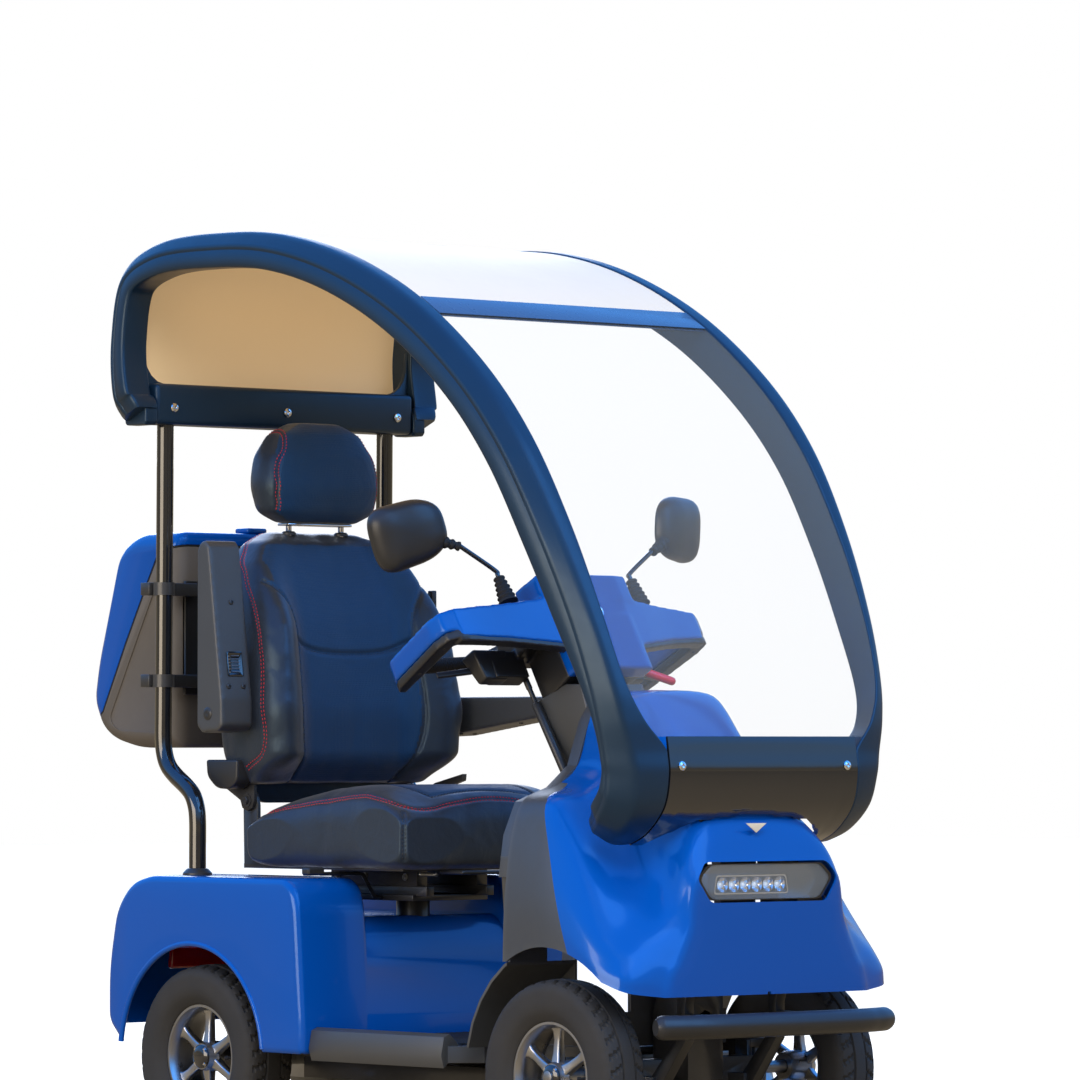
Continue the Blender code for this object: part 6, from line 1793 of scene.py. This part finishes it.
def build_floor():
    deck = softened("floor_deck", 0.0035, 3)
    deck.name = "foot_deck"
    mat = [box_mesh((-0.052, -0.292, 0.2318), (0.318, 0.292, 0.2336)),
           box_mesh((0.318, -0.138, 0.2318), (0.562, 0.138, 0.2336))]
    for k in range(33):
        y = -0.280 + k * 0.0175
        mat.append(box_mesh((-0.045, y - 0.0042, 0.2330),
                            (0.312 if abs(y) > 0.132 else 0.555, y + 0.0042, 0.2362)))
    plain_bar("ribbed_mat", joined(mat), paint("soft_grip"), "chassis", 0.0009)
    route = [(0.884, -0.305, 0.285), (0.903, -0.250, 0.285), (0.917, -0.150, 0.285), (0.917, 0.150, 0.285),
             (0.903, 0.250, 0.285), (0.884, 0.305, 0.285)]
    points = spline(route, 8)
    radii = [0.0230] * len(points)
    radii[0] = radii[-1] = 0.0150
    radii[1] = radii[-2] = 0.0215
    arms = [box_mesh((0.7805, side * 0.120 - 0.0115, 0.268), (0.905, side * 0.120 + 0.0115, 0.302))
            for side in (-1, 1)]
    bumper = mesh_piece("bumper_bar", *joined([tube_mesh(points, radii, 28)] + arms), paint("satin_black"))
    finish_piece(bumper, replaces=("front_bumper",))
    for name, side in (("bumper_bolts", 1), ("bumper_bolts_right", -1)):
        screws(name, [(0.83, side * 0.1316, 0.285)], (0, side, 0), 0.006, "chassis", hexagon=True)


# ---------------------------------------------------------------- seat hardware
def build_arms():
    for label, side in SIDES:
        pad = moulded("armrest_" + label, "arm_pad_" + label, 0.0028, 22)
        reshaped(pad, lambda x, y, z: (x, side * (0.268 + (abs(y) - 0.268) * 1.20), z))
        outer = side * (0.268 + 0.068 * 1.20 - 0.0004)
        cap = lathe([(0.0130, -0.002), (0.0130, 0.0012), (0.0105, 0.0026), (0.0050, 0.0030),
                     (0.0001, 0.0022)],
                    (-0.388, outer, 0.875), (0, side, 0), 36)
        plain_bar("arm_cap_" + label, cap, paint("satin_black"), "arm_" + label)

    def on_raised(y, z):
        return Vector((-0.3435 - (z - 0.905) * 0.1334, y, z))

    front = Vector((0.991, 0, 0.132))
    screws("arm_right_screws", [on_raised(-0.304, 1.100), on_raised(-0.328, 0.930), on_raised(-0.290, 0.930)],
           front,
           0.0056, "arm_right", "satin_black")
    slot = rounded([(-0.328, 0.950), (-0.288, 0.950), (-0.288, 1.000), (-0.328, 1.000)], [0.004] * 4, 4)
    rings = []
    for share, depth in ((1.0, -0.002), (1.0, 0.0016), (0.90, 0.0022), (0.84, 0.0012), (0.30, 0.0010)):
        rings.append([on_raised(-0.308 + (y + 0.308) * share, 0.975 + (z - 0.975) * share) + front * depth
                      for y, z in slot])
    plain_bar("arm_adjuster", skin(rings), paint("gloss_black"), "arm_right")
    ridges = []
    for k in range(6):
        place = on_raised(-0.308, 0.959 + k * 0.0064) + front * 0.0018
        ridges.append(tube_mesh([place - LEFTWARD * 0.0105, place + LEFTWARD * 0.0105], 0.0014, 10))
    plain_bar("arm_adjuster_ridges", joined(ridges), paint("steel"), "arm_right")
    under = Vector((0, 0, -1))
    screws("arm_left_screws", [(-0.388 + 0.225, 0.296, 0.8570), (-0.388 + 0.06, 0.314, 0.8350),
                               (-0.388 + 0.06, 0.277, 0.8350)], under, 0.0048, "arm_left", "satin_black")


def build_seat_hardware():
    for node, width in (("seat_pan", 0.0016), ("swivel_base", 0.0016), ("swivel_lever", 0.0020),
                        ("slide_lever", 0.0010), ("recline_lever", 0.0022)):
        softened(node, width, 2)
    screws("recliner_bolt_right", [(-0.425, -0.2162, 0.700)], (0, -1, 0), 0.0090, "backrest", "satin_black",
           hexagon=True)
    for label, side in SIDES:
        spring = []
        turns, length = 16, 0.052
        for k in range(turns * 10 + 1):
            a = 2 * math.pi * k / 10
            spring.append((-0.020 + length * k / (turns * 10), side * 0.1040 + 0.0036 * math.cos(a),
                           0.5545 + 0.0036 * math.sin(a)))
        plain_bar("rail_spring_" + label, tube_mesh(spring, 0.0009, 6), paint("steel"), "seat_carriage")
        screws("rail_bolts_" + label, [(x, side * 0.0942, 0.5480) for x in (-0.285, -0.200, -0.075)],
               (0, side, 0),
               0.0052, "seat_carriage", "steel", hexagon=True)


def build_running_gear():
    for node, width in (("chassis_frame", 0.0022), ("transaxle", 0.0020), ("battery_pack", 0.0030),
                        ("tie_rod", 0.0015),
                        ("knuckle_right", 0.0015), ("knuckle_left", 0.0015)):
        softened(node, width, 2)


def main():
    add_camera()
    add_stage()
    build_canopy()
    build_tubes()
    build_rear_box()
    build_seat_cushion()
    build_backrest()
    build_headrest()
    build_head()
    build_dash()
    build_column()
    build_mirrors()
    build_nose()
    build_headlight()
    build_wheels()
    build_rear_body()
    build_floor()
    build_arms()
    build_seat_hardware()
    build_running_gear()
    for node in NODES:
        if not NODES[node].hide_render:
            softened(node, 0.002, 2)


main()
